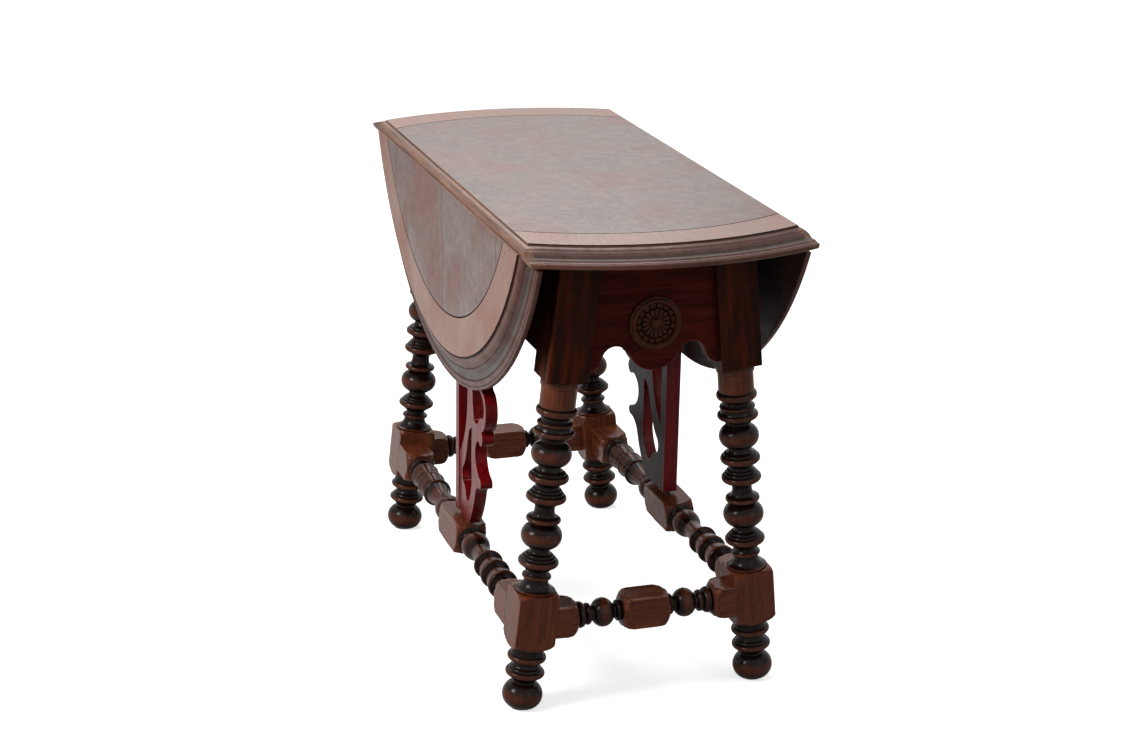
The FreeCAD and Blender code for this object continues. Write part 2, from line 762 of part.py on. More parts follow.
# The wing's free edge as moves of (out from the pivot axis, up), from the toe to the arm.
WING_TOE = 70.0
WING_REACH = 190.0
WING_EDGE = (
    (96.5, 208.0, 114.5, 243.0),
    (127.0, 258.0, 148.0, 264.5),
    (153.0, 271.0, 146.0, 280.5),
    (124.5, 290.5, 115.5, 304.0),
    (114.5, 320.5, 127.0, 337.0),
    (137.0, 341.0, 147.0, 338.0),
    (161.0, 347.5, 153.5, 362.5),
    (169.0, 371.0, 180.0, 386.0),
    (183.0, 408.0, 166.0, 429.0),
    (153.0, 433.0, 146.0, 440.0),
    (158.0, 480.0, 163.0, 530.0),
    (157.0, 534.0),
    (170.0, 620.0, WING_REACH, 700.0),
)
# Piercings, each with its start and its moves.
PIERCINGS = {
    "slot": ((9.5, 281.0), (
        (38.0, 315.0, 58.0, 367.0),
        (61.0, 400.0),
        (61.0, 600.0),
        (50.0, 630.0, 9.5, 640.0),
        (9.5, 281.0),
    )),
    "eye": ((104.0, 366.0), (
        (120.0, 364.5, 133.0, 371.5),
        (148.0, 383.5, 165.0, 387.5),
        (172.5, 402.0, 165.0, 419.0),
        (152.0, 425.0, 137.0, 427.0),
        (120.0, 433.0, 112.0, 452.0),
        (104.0, 459.0, 98.0, 452.0),
        (93.5, 405.0, 104.0, 366.0),
    )),
    "loop": ((92.0, 347.0), (
        (79.0, 343.0, 70.0, 334.0),
        (61.0, 312.0, 52.5, 291.0),
        (42.5, 273.0, 28.0, 259.0),
        (23.0, 247.0, 27.5, 234.5),
        (41.0, 229.5, 50.0, 220.0),
        (55.0, 212.0, 63.0, 210.0),
        (83.0, 232.0, 92.5, 262.0),
        (89.5, 304.0, 92.0, 347.0),
    )),
    "arm": ((84.0, 500.0), (
        (108.0, 482.0, 134.0, 500.0),
        (142.0, 570.0, 156.0, 640.0),
        (152.0, 668.0, 128.0, 680.0),
        (100.0, 630.0, 84.0, 560.0),
        (84.0, 500.0),
    )),
}


def make_wing(side, way):
    """A pierced wing with a thicker post and an iron pivot at each end of it. It is drawn with
    the pivots on the body's Z and the arm along the body's X."""
    body = new_body(f"{side}_wing_body")
    top, foot = UNDERSIDE - size("wing_gap"), size("wing_foot")
    back = -size("post_wide") / 2
    start = (back, foot)
    outline = start, [(WING_TOE, foot), *WING_EDGE, (WING_REACH, top), (back, top), start]
    face = new_sketch(body, f"{side}_wing_outline", "XZ_Plane", [outline])
    add_pad(body, f"{side}_wing_panel", face, "Sizes.panel_thick")
    post = new_sketch(body, f"{side}_post_face", "XZ_Plane", [rectangle(start, (-back, top))])
    add_pad(body, f"{side}_post", post, "Sizes.post_thick")
    for name, piercing in PIERCINGS.items():
        sketch = new_sketch(body, f"{side}_{name}_outline", "XZ_Plane", [piercing])
        cut_through(body, f"{side}_{name}", sketch)
    pivots = []
    x, y = way * size("wing_x"), -way * size("wing_y")
    for name, hole_z, pin_z in (
        ("upper", top - size("pivot_hold"), top - size("pivot_hold")),
        ("lower", foot, foot - size("lower_socket") + 1),
    ):
        hole = body.newObject("PartDesign::SubtractiveCylinder", f"{side}_{name}_hole")
        bind_cylinder(hole, "Sizes.pivot_radius", "Sizes.pivot_hold", V(0, 0, hole_z))
        pivot = document.addObject("Part::Cylinder", f"{side}_{name}_pivot")
        length = f"Sizes.pivot_hold + Sizes.{name}_socket - 1"
        pivots.append(bind_cylinder(pivot, "Sizes.pivot_radius", length, V(x, y, pin_z)))
    swung = FreeCAD.Rotation(UP, 90 - size(f"{side}_swing"))
    place = FreeCAD.Placement(V(size("wing_x"), -size("wing_y"), 0), swung)
    body.Placement = turned_about(way, place)
    keep(f"{side}_wing", body)
    keep(f"{side}_wing_pivots", group(f"{side}_pivots", pivots))


# ------------------------------------------------------------------ the whole table

make_board()
for side, way in SIDES.items():
    make_leaf(side, way)
    make_hinges(side, way)
    make_wing(side, way)
aprons = {end: make_apron(end, way) for end, way in ENDS.items()}
side_rails = {side: make_side_rail(side, way) for side, way in SIDES.items()}
side_stretchers = {side: make_side_stretcher(side, way) for side, way in SIDES.items()}
end_stretchers = {end: make_end_stretcher(end, way) for end, way in ENDS.items()}

level = document.addObject("Part::Box", "level_space")
under_board = "Sizes.top_height - Sizes.board_thick"
bind_box(level, ("-400", "-600", "0"), ("400", "600", under_board))
for end, y_way in ENDS.items():
    make_rosette(end, y_way)
    for side, x_way in SIDES.items():
        joined = [aprons[end], side_rails[side], side_stretchers[side], end_stretchers[end]]
        make_leg(f"{end}_{side}_leg", x_way, y_way, level, joined)
        make_glue_block(end, y_way, side, x_way)

document.recompute()
for feature in document.Objects:
    if "Invalid" in feature.State or "Error" in feature.State:
        raise RuntimeError(f"{feature.Name} did not build: {feature.State}")

os.makedirs("parts", exist_ok=True)
for name, feature in parts.items():
    shape = feature.Shape
    if shape.isNull() or not shape.isValid():
        raise RuntimeError(f"{name} has no valid shape")
    shape.exportStep(f"parts/{name}.step")
    print(f"{name}: {len(shape.Solids)} solid(s), {shape.Volume / 1000:.1f} cm3")
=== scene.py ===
"""Looks of a round butterfly table: turned legs and stretchers, moulded top and pierced wings.

Lengths are written in millimetres and turned to metres by MM. X runs across the table from leaf to
leaf, Y along the fixed board and Z up, with the origin on the floor under the middle.
"""
import math

import bmesh
import bpy
from bpy.props import FloatProperty, FloatVectorProperty, IntProperty, PointerProperty
from mathutils import Matrix, Vector


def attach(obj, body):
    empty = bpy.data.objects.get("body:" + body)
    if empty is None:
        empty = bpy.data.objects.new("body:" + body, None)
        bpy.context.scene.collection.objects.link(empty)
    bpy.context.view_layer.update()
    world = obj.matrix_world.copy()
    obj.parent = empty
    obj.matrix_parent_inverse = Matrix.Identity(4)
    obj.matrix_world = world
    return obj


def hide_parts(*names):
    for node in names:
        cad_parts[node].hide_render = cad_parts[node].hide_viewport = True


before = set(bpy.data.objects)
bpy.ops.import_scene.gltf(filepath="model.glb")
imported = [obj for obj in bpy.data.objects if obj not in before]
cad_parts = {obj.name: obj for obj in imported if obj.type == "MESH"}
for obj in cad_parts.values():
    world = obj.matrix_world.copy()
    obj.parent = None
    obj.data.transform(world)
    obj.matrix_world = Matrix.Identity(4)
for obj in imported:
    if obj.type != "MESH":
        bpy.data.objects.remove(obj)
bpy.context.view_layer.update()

bl_info = {
    "name": "Butterfly Table",
    "version": (1, 0, 0),
    "blender": (4, 5, 0),
    "location": "View3D > Sidebar > Table",
    "description": "Dresses the frame of a round butterfly table with turned and finished pieces",
    "category": "Object",
}

MM = 0.001
SIDES = {"left": -1, "right": 1}
ENDS = {"near": -1, "far": 1}

# Places shared with the frame, in millimetres.
RAKE = math.radians(5.96)
FOOT_X = 190.3
LEG_Y = 367.5
LEG_SQUARE = 63.4
STRETCHER_Z = 143.5
STRETCHER_SQUARE = 50.0
END_SQUARE = 48.0
UNDERSIDE = 718.0
APRON_FACE_Y = 387.2
ROSETTE_Z = 600.0
TOP = 740.0
BOARD_THICK = 22.0
HANG_CENTRE = 929.0  # height about which the rounds of a hanging leaf are drawn
LEAF_FACE = 219.0  # middle of the table to the show face of a hanging leaf
NECK_Z = 481.0  # foot of the plain neck under a leg's upper square
HEAD_Z = 520.0  # foot of a leg's upper square

# Rounds of the open top, by distance from its middle, in millimetres.
TOP_RADIUS = 517.0
MOULDING_RADIUS = 465.0
LINE_RADIUS = 464.5  # dark line inside the moulding
EDGE_RADIUS = 455.0  # faces further out than this belong to the worked edge
FIELD_RADIUS = 403.6  # the border starts here, under the string
STRING_RADIUS = 402.7
SEAM_PITCH = 300.0  # from seam to seam across the field
JOINT_X = 204.0  # middle of the table to the line of a rule joint
COVE_X = 216.9  # how far out the hollow of a leaf's joint reaches

# Glaze on the turnings.
GLAZE_REACH = 9.0  # how far, and how deep, a hollow darkens
TURNED_GLAZE = 0.2  # how dark the turned work is all over


def linear(colour):
    """An sRGB hex colour as the linear RGBA that shaders take. Anything else stays as it is."""
    if not isinstance(colour, str):
        return colour
    parts = [int(colour[k : k + 2], 16) / 255 for k in (1, 3, 5)]
    return [p / 12.92 if p <= 0.04045 else ((p + 0.055) / 1.055) ** 2.4 for p in parts] + [1.0]


# ------------------------------------------------------------------ sizes and colours


class TableSizes(bpy.types.PropertyGroup):
    """Sizes that a user would change."""

    turning_steps: IntProperty(
        name="Turning steps", description="Facets round a turning", default=64
    )
    arris: FloatProperty(
        name="Arris", description="Width of an eased arris", default=1.4 * MM, unit="LENGTH"
    )


class TableColours(bpy.types.PropertyGroup):
    """Colours that a user would change."""

    glaze: FloatVectorProperty(
        name="Glaze", description="Dark glaze left in the hollows of the turnings", subtype="COLOR",
        size=4, default=linear("#190d09"),
    )
    walnut: FloatVectorProperty(
        name="Walnut", description="Stained walnut of the legs and stretchers", subtype="COLOR",
        size=4, default=linear("#6a3420"),
    )
    rubbed: FloatVectorProperty(
        name="Rubbed wood", description="Wood that hands and feet have rubbed bare",
        subtype="COLOR", size=4, default=linear("#8d4d2a"),
    )
    mahogany: FloatVectorProperty(
        name="Mahogany", description="Polished red mahogany of the wings", subtype="COLOR", size=4,
        default=linear("#760c10"),
    )
    field: FloatVectorProperty(
        name="Field veneer", description="Burr veneer in the middle of the top", subtype="COLOR",
        size=4, default=linear("#664a3e"),
    )
    banding: FloatVectorProperty(
        name="Banding", description="Crossbanded border round the top", subtype="COLOR", size=4,
        default=linear("#8c5c48"),
    )


# ------------------------------------------------------------------ finishes


def add_node(tree, kind, settings=None, links=None):
    """One node with its settings, inputs by name or number, and the sockets linked into it.
    Stops are the (place, colour) pairs of a node that has a ramp."""
    node = tree.nodes.new(kind)
    for key, setting in (settings or {}).items():
        if key == "stops":
            for place, colour in setting[1:-1]:
                node.color_ramp.elements.new(place)
            for element, (place, colour) in zip(node.color_ramp.elements, setting):
                element.position, element.color = place, linear(colour)
        elif isinstance(key, str) and hasattr(node, key):
            setattr(node, key, setting)
        else:
            node.inputs[key].default_value = linear(setting)
    for key, socket in (links or {}).items():
        tree.links.new(socket, node.inputs[key])
    return node


def new_material(name, **settings):
    """A material, its nodes and its shader, with constants set on the shader's own sockets."""
    material = bpy.data.materials.new(name)
    material.use_nodes = True
    shader = material.node_tree.nodes["Principled BSDF"]
    for key, setting in settings.items():
        shader.inputs[key.replace("_", " ")].default_value = setting
    return material, material.node_tree, shader


def wood_figure(tree, source, across, along):
    """Noise drawn out along the grain. The grain runs along Z of the piece's own coordinates, and
    the two sizes are the width and length of a streak in millimetres."""
    scaled = add_node(
        tree, "ShaderNodeMapping", {"Scale": (1000 / across, 1000 / across, 1000 / along)},
        {"Vector": source},
    )
    return add_node(
        tree, "ShaderNodeTexNoise", {"Scale": 1.0, "Detail": 4.0, "Roughness": 0.6},
        {"Vector": scaled.outputs["Vector"]},
    ).outputs["Fac"]


def polished_wood(
    name, shades, glaze, rubbed, places=(0.3, 0.5, 0.75), streak=(7.0, 120.0),
    sheen=(0.25, 0.45), rounds=None, **settings
):
    """Polished wood, with streaks of figure along the grain from dark to light shades. Its pores
    are half a millimetre wide and ten long, drawn twice as coarse so that they show. Glaze lies in
    the hollows, and the wood is bare where it is rubbed."""
    _, tree, shader = new_material(name, **settings)
    grain = add_node(tree, "ShaderNodeAttribute", {"attribute_name": "grain"}).outputs["Vector"]
    hollow = add_node(tree, "ShaderNodeAttribute", {"attribute_name": "hollow"}).outputs["Fac"]
    figure = wood_figure(tree, grain, *streak)
    pores = wood_figure(tree, grain, 1.1, 22.0)
    patches = wood_figure(tree, grain, 26.0, 60.0)
    colour = add_node(
        tree, "ShaderNodeValToRGB", {"stops": list(zip(places, shades))}, {"Fac": figure}
    ).outputs["Color"]
    # Stops across a moulding paint its light and shade: painted highlights on the rounds, painted
    # shade in the quirks.
    if rounds:
        plan = add_node(tree, "ShaderNodeAttribute", {"attribute_name": "plan"}).outputs["Vector"]
        flat = add_node(
            tree, "ShaderNodeVectorMath", {"operation": "MULTIPLY", 1: (1, 1, 0)}, {0: plan}
        )
        out = add_node(
            tree, "ShaderNodeVectorMath", {"operation": "LENGTH"}, {0: flat.outputs["Vector"]}
        ).outputs["Value"]
        across = add_node(
            tree, "ShaderNodeMapRange",
            {"From Min": MOULDING_RADIUS * MM, "From Max": TOP_RADIUS * MM}, {"Value": out},
        ).outputs["Result"]
        painted_light_tone = add_node(
            tree, "ShaderNodeValToRGB", {"stops": rounds}, {"Fac": across}
        ).outputs["Color"]
        colour = add_node(
            tree, "ShaderNodeMix", {"data_type": "RGBA", 0: 0.7}, {6: colour, 7: painted_light_tone}
        ).outputs[2]
    dark_pores = add_node(
        tree, "ShaderNodeMapRange",
        {"From Min": 0.3, "From Max": 0.5, "To Min": 0.74, "To Max": 1.0}, {"Value": pores},
    ).outputs["Result"]
    colour = add_node(
        tree, "ShaderNodeVectorMath", {"operation": "SCALE"}, {0: colour, "Scale": dark_pores}
    ).outputs["Vector"]
    bare = add_node(
        tree, "ShaderNodeMapRange", {"From Min": 0.52, "From Max": 0.7, "To Max": 0.75},
        {"Value": patches},
    ).outputs["Result"]
    colour = add_node(
        tree, "ShaderNodeMix", {"data_type": "RGBA", 7: rubbed}, {0: bare, 6: colour}
    ).outputs[2]
    uneven = add_node(
        tree, "ShaderNodeMath", {"operation": "MULTIPLY_ADD", 1: 0.5}, {0: patches, 2: hollow}
    ).outputs["Value"]
    deep = add_node(
        tree, "ShaderNodeMapRange", {"From Min": 0.22, "From Max": 0.75}, {"Value": uneven}
    ).outputs["Result"]
    colour = add_node(
        tree, "ShaderNodeMix", {"data_type": "RGBA", 7: glaze}, {0: deep, 6: colour}
    ).outputs[2]
    tree.links.new(colour, shader.inputs["Base Color"])
    rough = add_node(
        tree, "ShaderNodeMapRange",
        {"From Min": 0.3, "From Max": 0.7, "To Min": sheen[0], "To Max": sheen[1]},
        {"Value": patches},
    ).outputs["Result"]
    tree.links.new(rough, shader.inputs["Roughness"])
    bump = add_node(
        tree, "ShaderNodeBump", {"Strength": 0.35, "Distance": 0.0003}, {"Height": pores}
    ).outputs["Normal"]
    tree.links.new(bump, shader.inputs["Normal"])


def veneered_top(colours):
    """French-polished veneer: a burr field laid in pieces, a black string and a crossbanded
    border. The polish has gone cloudy in patches, where red stain shows through."""
    _, tree, shader = new_material("french_polished_veneer")
    plan = add_node(tree, "ShaderNodeAttribute", {"attribute_name": "plan"}).outputs["Vector"]
    axes = add_node(tree, "ShaderNodeSeparateXYZ", links={0: plan})
    flat = add_node(
        tree, "ShaderNodeCombineXYZ", links={"X": axes.outputs["X"], "Y": axes.outputs["Y"]}
    ).outputs["Vector"]
    radius = add_node(
        tree, "ShaderNodeVectorMath", {"operation": "LENGTH"}, {0: flat}
    ).outputs["Value"]
    burr = add_node(
        tree, "ShaderNodeTexNoise",
        {"Scale": 60.0, "Detail": 8.0, "Roughness": 0.7, "Distortion": 0.7}, {"Vector": flat},
    ).outputs["Fac"]
    clouds = add_node(
        tree, "ShaderNodeTexNoise", {"Scale": 7.0, "Detail": 3.0, "Distortion": 0.6},
        {"Vector": flat},
    ).outputs["Fac"]
    eyes = add_node(
        tree, "ShaderNodeTexVoronoi", {"Scale": 210.0, "Randomness": 1.0}, {"Vector": flat}
    ).outputs["Distance"]
    field = add_node(tree, "ShaderNodeValToRGB", {"stops": (
        (0.35, "#4a3730"), (0.5, colours.field), (0.66, "#7c6256"),
    )}, {"Fac": burr}).outputs["Color"]
    red = add_node(
        tree, "ShaderNodeMapRange", {"From Min": 0.46, "From Max": 0.62, "To Max": 0.7},
        {"Value": clouds},
    ).outputs["Result"]
    speckled = add_node(
        tree, "ShaderNodeMapRange",
        {"From Min": 0.15, "From Max": 0.5, "To Min": 0.85, "To Max": 0.25}, {"Value": eyes},
    ).outputs["Result"]
    red = add_node(
        tree, "ShaderNodeMath", {"operation": "MULTIPLY"}, {0: red, 1: speckled}
    ).outputs["Value"]
    field = add_node(
        tree, "ShaderNodeMix", {"data_type": "RGBA", 7: "#86302e"}, {0: red, 6: field}
    ).outputs[2]
    # The border's grain runs outwards from the middle, in streaks 3 mm wide.
    turn = add_node(
        tree, "ShaderNodeMath", {"operation": "ARCTAN2"},
        {0: axes.outputs["Y"], 1: axes.outputs["X"]},
    ).outputs["Value"]
    round_the_edge = add_node(
        tree, "ShaderNodeCombineXYZ", links={"X": turn, "Y": radius}
    ).outputs["Vector"]
    stretched = add_node(
        tree, "ShaderNodeMapping", {"Scale": (150.0, 25.0, 1.0)}, {"Vector": round_the_edge}
    ).outputs["Vector"]
    bands = add_node(
        tree, "ShaderNodeTexNoise", {"Scale": 1.0, "Detail": 4.0, "Roughness": 0.6},
        {"Vector": stretched},
    ).outputs["Fac"]
    border = add_node(tree, "ShaderNodeValToRGB", {"stops": (
        (0.3, "#74483a"), (0.5, colours.banding), (0.72, "#9c6c56"),
    )}, {"Fac": bands}).outputs["Color"]
    outside = add_node(
        tree, "ShaderNodeMath", {"operation": "GREATER_THAN", 1: FIELD_RADIUS * MM}, {0: radius}
    ).outputs["Value"]
    colour = add_node(
        tree, "ShaderNodeMix", {"data_type": "RGBA"}, {0: outside, 6: field, 7: border}
    ).outputs[2]
    # Dark lines: the string, the line inside the moulding and the seams between the veneers.
    lines = None
    for place, half_width in ((STRING_RADIUS, 1.1), (LINE_RADIUS, 0.8)):
        line = add_node(
            tree, "ShaderNodeMath",
            {"operation": "COMPARE", 1: place * MM, 2: half_width * MM}, {0: radius},
        ).outputs["Value"]
        lines = line if lines is None else add_node(
            tree, "ShaderNodeMath", {"operation": "MAXIMUM"}, {0: lines, 1: line}
        ).outputs["Value"]
    waver = add_node(
        tree, "ShaderNodeMath", {"operation": "MULTIPLY_ADD", 1: 0.025},
        {0: clouds, 2: axes.outputs["Y"]},
    ).outputs["Value"]
    seam = add_node(
        tree, "ShaderNodeMath", {"operation": "PINGPONG", 1: SEAM_PITCH / 2 * MM}, {0: waver}
    ).outputs["Value"]
    seam = add_node(
        tree, "ShaderNodeMapRange",
        {"From Min": 0.0006, "From Max": 0.0022, "To Min": 0.8, "To Max": 0.0}, {"Value": seam},
    ).outputs["Result"]
    middle = add_node(
        tree, "ShaderNodeMath", {"operation": "COMPARE", 1: 0.0, 2: 0.0009},
        {0: axes.outputs["X"]},
    ).outputs["Value"]
    middle = add_node(
        tree, "ShaderNodeMath", {"operation": "MULTIPLY", 1: 0.3}, {0: middle}
    ).outputs["Value"]
    # The seams across the left leaf have opened, and the others are still tight.
    opened = add_node(
        tree, "ShaderNodeMath", {"operation": "LESS_THAN", 1: -(JOINT_X + 0.2) * MM},
        {0: axes.outputs["X"]},
    ).outputs["Value"]
    opened = add_node(
        tree, "ShaderNodeMath", {"operation": "MULTIPLY_ADD", 1: 0.75, 2: 0.25}, {0: opened}
    ).outputs["Value"]
    seam = add_node(
        tree, "ShaderNodeMath", {"operation": "MULTIPLY"}, {0: seam, 1: opened}
    ).outputs["Value"]
    seam = add_node(
        tree, "ShaderNodeMath", {"operation": "MAXIMUM"}, {0: seam, 1: middle}
    ).outputs["Value"]
    inside = add_node(
        tree, "ShaderNodeMath", {"operation": "SUBTRACT", 0: 1.0}, {1: outside}
    ).outputs["Value"]
    seam = add_node(
        tree, "ShaderNodeMath", {"operation": "MULTIPLY"}, {0: seam, 1: inside}
    ).outputs["Value"]
    lines = add_node(
        tree, "ShaderNodeMath", {"operation": "MAXIMUM"}, {0: lines, 1: seam}
    ).outputs["Value"]
    colour = add_node(
        tree, "ShaderNodeMix", {"data_type": "RGBA", 7: "#140b09"}, {0: lines, 6: colour}
    ).outputs[2]
    tree.links.new(colour, shader.inputs["Base Color"])
    cloudy = add_node(
        tree, "ShaderNodeMapRange",
        {"From Min": 0.35, "From Max": 0.65, "To Min": 0.24, "To Max": 0.42}, {"Value": clouds},
    ).outputs["Result"]
    tree.links.new(cloudy, shader.inputs["Roughness"])
    fine = add_node(
        tree, "ShaderNodeTexNoise", {"Scale": 420.0, "Detail": 2.0}, {"Vector": flat}
    ).outputs["Fac"]
    bump = add_node(
        tree, "ShaderNodeBump", {"Strength": 0.05, "Distance": 0.0002}, {"Height": fine}
    ).outputs["Normal"]
    tree.links.new(bump, shader.inputs["Normal"])
    # The lines are open, and take no polish.
    polish = add_node(
        tree, "ShaderNodeMapRange", {"To Min": 0.5, "To Max": 0.0}, {"Value": lines}
    ).outputs["Result"]
    tree.links.new(polish, shader.inputs["Specular IOR Level"])


def forged_iron(name):
    """Forged iron, black from the fire, with hammer marks 4 mm wide and brown rust in the pits."""
    material, tree, shader = new_material(name, Metallic=1.0)
    place = add_node(tree, "ShaderNodeTexCoord").outputs["Object"]
    marks = add_node(
        tree, "ShaderNodeTexNoise", {"Scale": 250.0, "Detail": 3.0}, {"Vector": place}
    ).outputs["Fac"]
    colour = add_node(tree, "ShaderNodeValToRGB", {"stops": (
        (0.35, "#4a3226"), (0.5, "#3a3633"), (0.7, "#57534f"),
    )}, {"Fac": marks}).outputs["Color"]
    tree.links.new(colour, shader.inputs["Base Color"])
    rough = add_node(
        tree, "ShaderNodeMapRange", {"To Min": 0.65, "To Max": 0.35}, {"Value": marks}
    ).outputs["Result"]
    tree.links.new(rough, shader.inputs["Roughness"])
    bump = add_node(
        tree, "ShaderNodeBump", {"Strength": 0.4, "Distance": 0.0005}, {"Height": marks}
    ).outputs["Normal"]
    tree.links.new(bump, shader.inputs["Normal"])
    return material


class TABLE_OT_finishes(bpy.types.Operator):
    """Mixes the finishes and blacks the ironwork"""

    bl_idname = "table.finishes"
    bl_label = "Finishes"

    def execute(self, context):
        colours = context.scene.table_colours
        glaze, rubbed, walnut = colours.glaze[:], colours.rubbed[:], colours.walnut[:]
        # Turned walnut under a dark glaze: warm brown crowns, near black in the hollows, and a
        # narrow wet-looking highlight down each ball.
        polished_wood(
            "glazed_walnut", ("#4c2412", walnut, "#804028"),
            glaze, rubbed, sheen=(0.12, 0.26), Specular_IOR_Level=0.13,
        )
        # Leg squares under the top, painted nearly black for the shade there, with orange streaks
        # where the stain has lifted.
        polished_wood(
            "painted_shade_walnut_head", ("#1c0c07", "#3a180d", "#662812"), "#0c0604", "#5c2410",
            places=(0.36, 0.52, 0.7), streak=(14.0, 190.0), sheen=(0.3, 0.5),
            Specular_IOR_Level=0.06,
        )
        # Carved wood holds the glaze, so the flower reads as soft brown edges on black.
        polished_wood(
            "carved_walnut", ("#2c130c", "#4a2214", "#6a341e"),
            "#180c08", "#5c2c18", sheen=(0.3, 0.5), Specular_IOR_Level=0.12,
        )
        # Edges that hands and feet have rubbed: a light brown line down each square.
        polished_wood(
            "rubbed_walnut_arris", ("#4e2a1a", "#76442a", "#905a38"),
            glaze, rubbed, sheen=(0.25, 0.4), Specular_IOR_Level=0.2,
        )
        # Red stain thin over oak, and hardly any shine: a dark red plane behind the flower.
        polished_wood(
            "stained_apron_oak", ("#2a0d0a", "#4a1712", "#6a281c"),
            glaze, "#6e2418", streak=(9.0, 160.0), sheen=(0.3, 0.5),
            Specular_IOR_Level=0.04,
        )
        # The scrolled lower edge, where the stain is worn to orange, lightened further as a painted
        # highlight.
        polished_wood(
            "worn_apron_arris_painted_highlight", ("#4a1c12", "#7a3520", "#94482a"),
            glaze, "#8a4226", sheen=(0.3, 0.45), Specular_IOR_Level=0.2,
        )
        # Wine-red mahogany under a hard polish, the one bright colour below the top.
        polished_wood(
            "polished_mahogany", ("#4a0609", colours.mahogany[:], "#94161c"),
            "#1c0608", "#80181a", streak=(5.0, 140.0), sheen=(0.2, 0.34),
            Specular_IOR_Level=0.14,
        )
        # The wings' edges, worn to a dusty pink and lightened further as a painted highlight.
        polished_wood(
            "worn_mahogany_arris_painted_highlight", ("#7a4a48", "#9a6a66", "#b88a80"),
            "#40151a", "#a87a72", sheen=(0.25, 0.4), Specular_IOR_Level=0.4,
        )
        # The moulding's rounds, with light and shade painted on: a painted highlight on each nose,
        # painted shade black in each quirk and a grey painted reflection in the cove.
        polished_wood(
            "moulded_walnut_edge_painted_light", ("#281713", "#432a24", "#64443a"),
            "#281714", "#5c382e", sheen=(0.25, 0.4), Specular_IOR_Level=0.12,
            rounds=(
                (0.0, "#1c100e"), (0.03, "#74483c"), (0.3, "#6c4438"),
                (0.34, "#2a1a16"), (0.38, "#74504a"), (0.47, "#4c4640"),
                (0.66, "#565048"), (0.7, "#7c5248"), (0.86, "#6c463c"),
                (0.89, "#20120f"), (0.93, "#7a5044"),
            ),
        )
        # The rule joint's quarter round, rubbed pale along its length by the leaf.
        polished_wood(
            "rubbed_joint_walnut", ("#50342a", "#78523e", "#9a6e54"),
            "#4a2e22", "#8a5c40", sheen=(0.3, 0.45), Specular_IOR_Level=0.25,
        )
        # The wings' inner faces, painted nearly black for the shade under the table, and still
        # glossy.
        polished_wood(
            "painted_shade_inner_face", ("#140b0b", "#221214", "#38191b"),
            "#0c0606", "#3a1a1a", sheen=(0.3, 0.45), Specular_IOR_Level=0.12,
        )
        # Undersides, painted dark for the shade under the top, and left dull.
        polished_wood(
            "painted_shade_underside", ("#1a0f0c", "#2c1a14", "#40281e"),
            "#120a08", "#3a221a", sheen=(0.5, 0.7), Specular_IOR_Level=0.2,
        )
        # Glue blocks straight from the saw: pale, dry and matt.
        polished_wood(
            "rough_sawn_pine", ("#6e4e34", "#94714e", "#b08e68"),
            "#4c3624", "#a08060", sheen=(0.6, 0.8), Specular_IOR_Level=0.3,
        )
        # Clouded polish over burr: a grey sheen at a low angle, red-brown burr from above.
        veneered_top(colours)
        # Black iron: dull, with brown specks, and only the high spots shine.
        iron = forged_iron("forged_hinge_iron")
        for name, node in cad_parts.items():
            if "hinge" in name or "pivots" in name:
                if not node.material_slots:
                    node.data.materials.append(iron)
                for place in node.material_slots:
                    place.material = iron
        return {"FINISHED"}


# ------------------------------------------------------------------ shapes


def draw_profile(mesh, points):
    """Draws a profile of (along, radius, bulge) points up the XZ plane, in millimetres. The bulge
    is how far the stretch that ends at a point stands proud of its chord."""
    along, radius, _ = points[0]
    tip = mesh.verts.new((radius * MM, 0, along * MM))
    for next_along, next_radius, bulge in points[1:]:
        rise, run = next_along - along, next_radius - radius
        chord = math.hypot(rise, run)
        if bulge:
            reach = (bulge**2 - chord**2 / 4) / (2 * bulge) / chord
            centre_z = (along + next_along) / 2 - run * reach
            centre_x = (radius + next_radius) / 2 + rise * reach
            angle = 4 * math.atan(2 * bulge / chord)
            made = bmesh.ops.spin(
                mesh, geom=[tip], cent=(centre_x * MM, 0, centre_z * MM), axis=(0, -1, 0),
                angle=angle, steps=max(2, round(abs(math.degrees(angle)) / 11)),
            )
            tip = next(v for v in made["geom_last"] if isinstance(v, bmesh.types.BMVert))
        else:
            made = bmesh.ops.extrude_vert_indiv(mesh, verts=[tip])
            tip = made["verts"][0]
            tip.co = (next_radius * MM, 0, next_along * MM)
        along, radius = next_along, next_radius


def spin_profile(points, steps):
    """A turned solid about Z."""
    mesh = bmesh.new()
    draw_profile(mesh, points)
    geometry = mesh.verts[:] + mesh.edges[:]
    bmesh.ops.spin(
        mesh, geom=geometry, cent=(0, 0, 0), axis=(0, 0, 1), angle=math.tau, steps=steps,
        use_merge=True,
    )
    bmesh.ops.remove_doubles(mesh, verts=mesh.verts[:], dist=1e-6)
    return mesh


def square_up(mesh, half, arris):
    """Planes a turned blank down to a square where it stands proud of it, and eases the arrises."""
    half *= MM
    for vertex in mesh.verts:
        proud = max(abs(vertex.co.x), abs(vertex.co.y))
        if proud > half:
            vertex.co.x *= half / proud
            vertex.co.y *= half / proud
    near = 1e-5
    edges = [
        e for e in mesh.edges
        if all(abs(abs(v.co.x) - half) < near and abs(abs(v.co.y) - half) < near for v in e.verts)
    ]
    if edges:
        made = bmesh.ops.bevel(
            mesh, geom=edges, offset=arris, segments=2, profile=0.5, affect="EDGES", material=-1
        )
        for face in made["faces"]:
            face.material_index = 1


def mark_grain(mesh, place=None, start=(0.0, 0.0, 0.0)):
    """Keeps each vertex's place in the piece as sawn, grain along Z, from its own start in the
    log, for the finishes to follow."""
    layer = mesh.verts.layers.float_vector.new("grain")
    for vertex in mesh.verts:
        at = place @ vertex.co if place else vertex.co
        vertex[layer] = at + Vector(start)


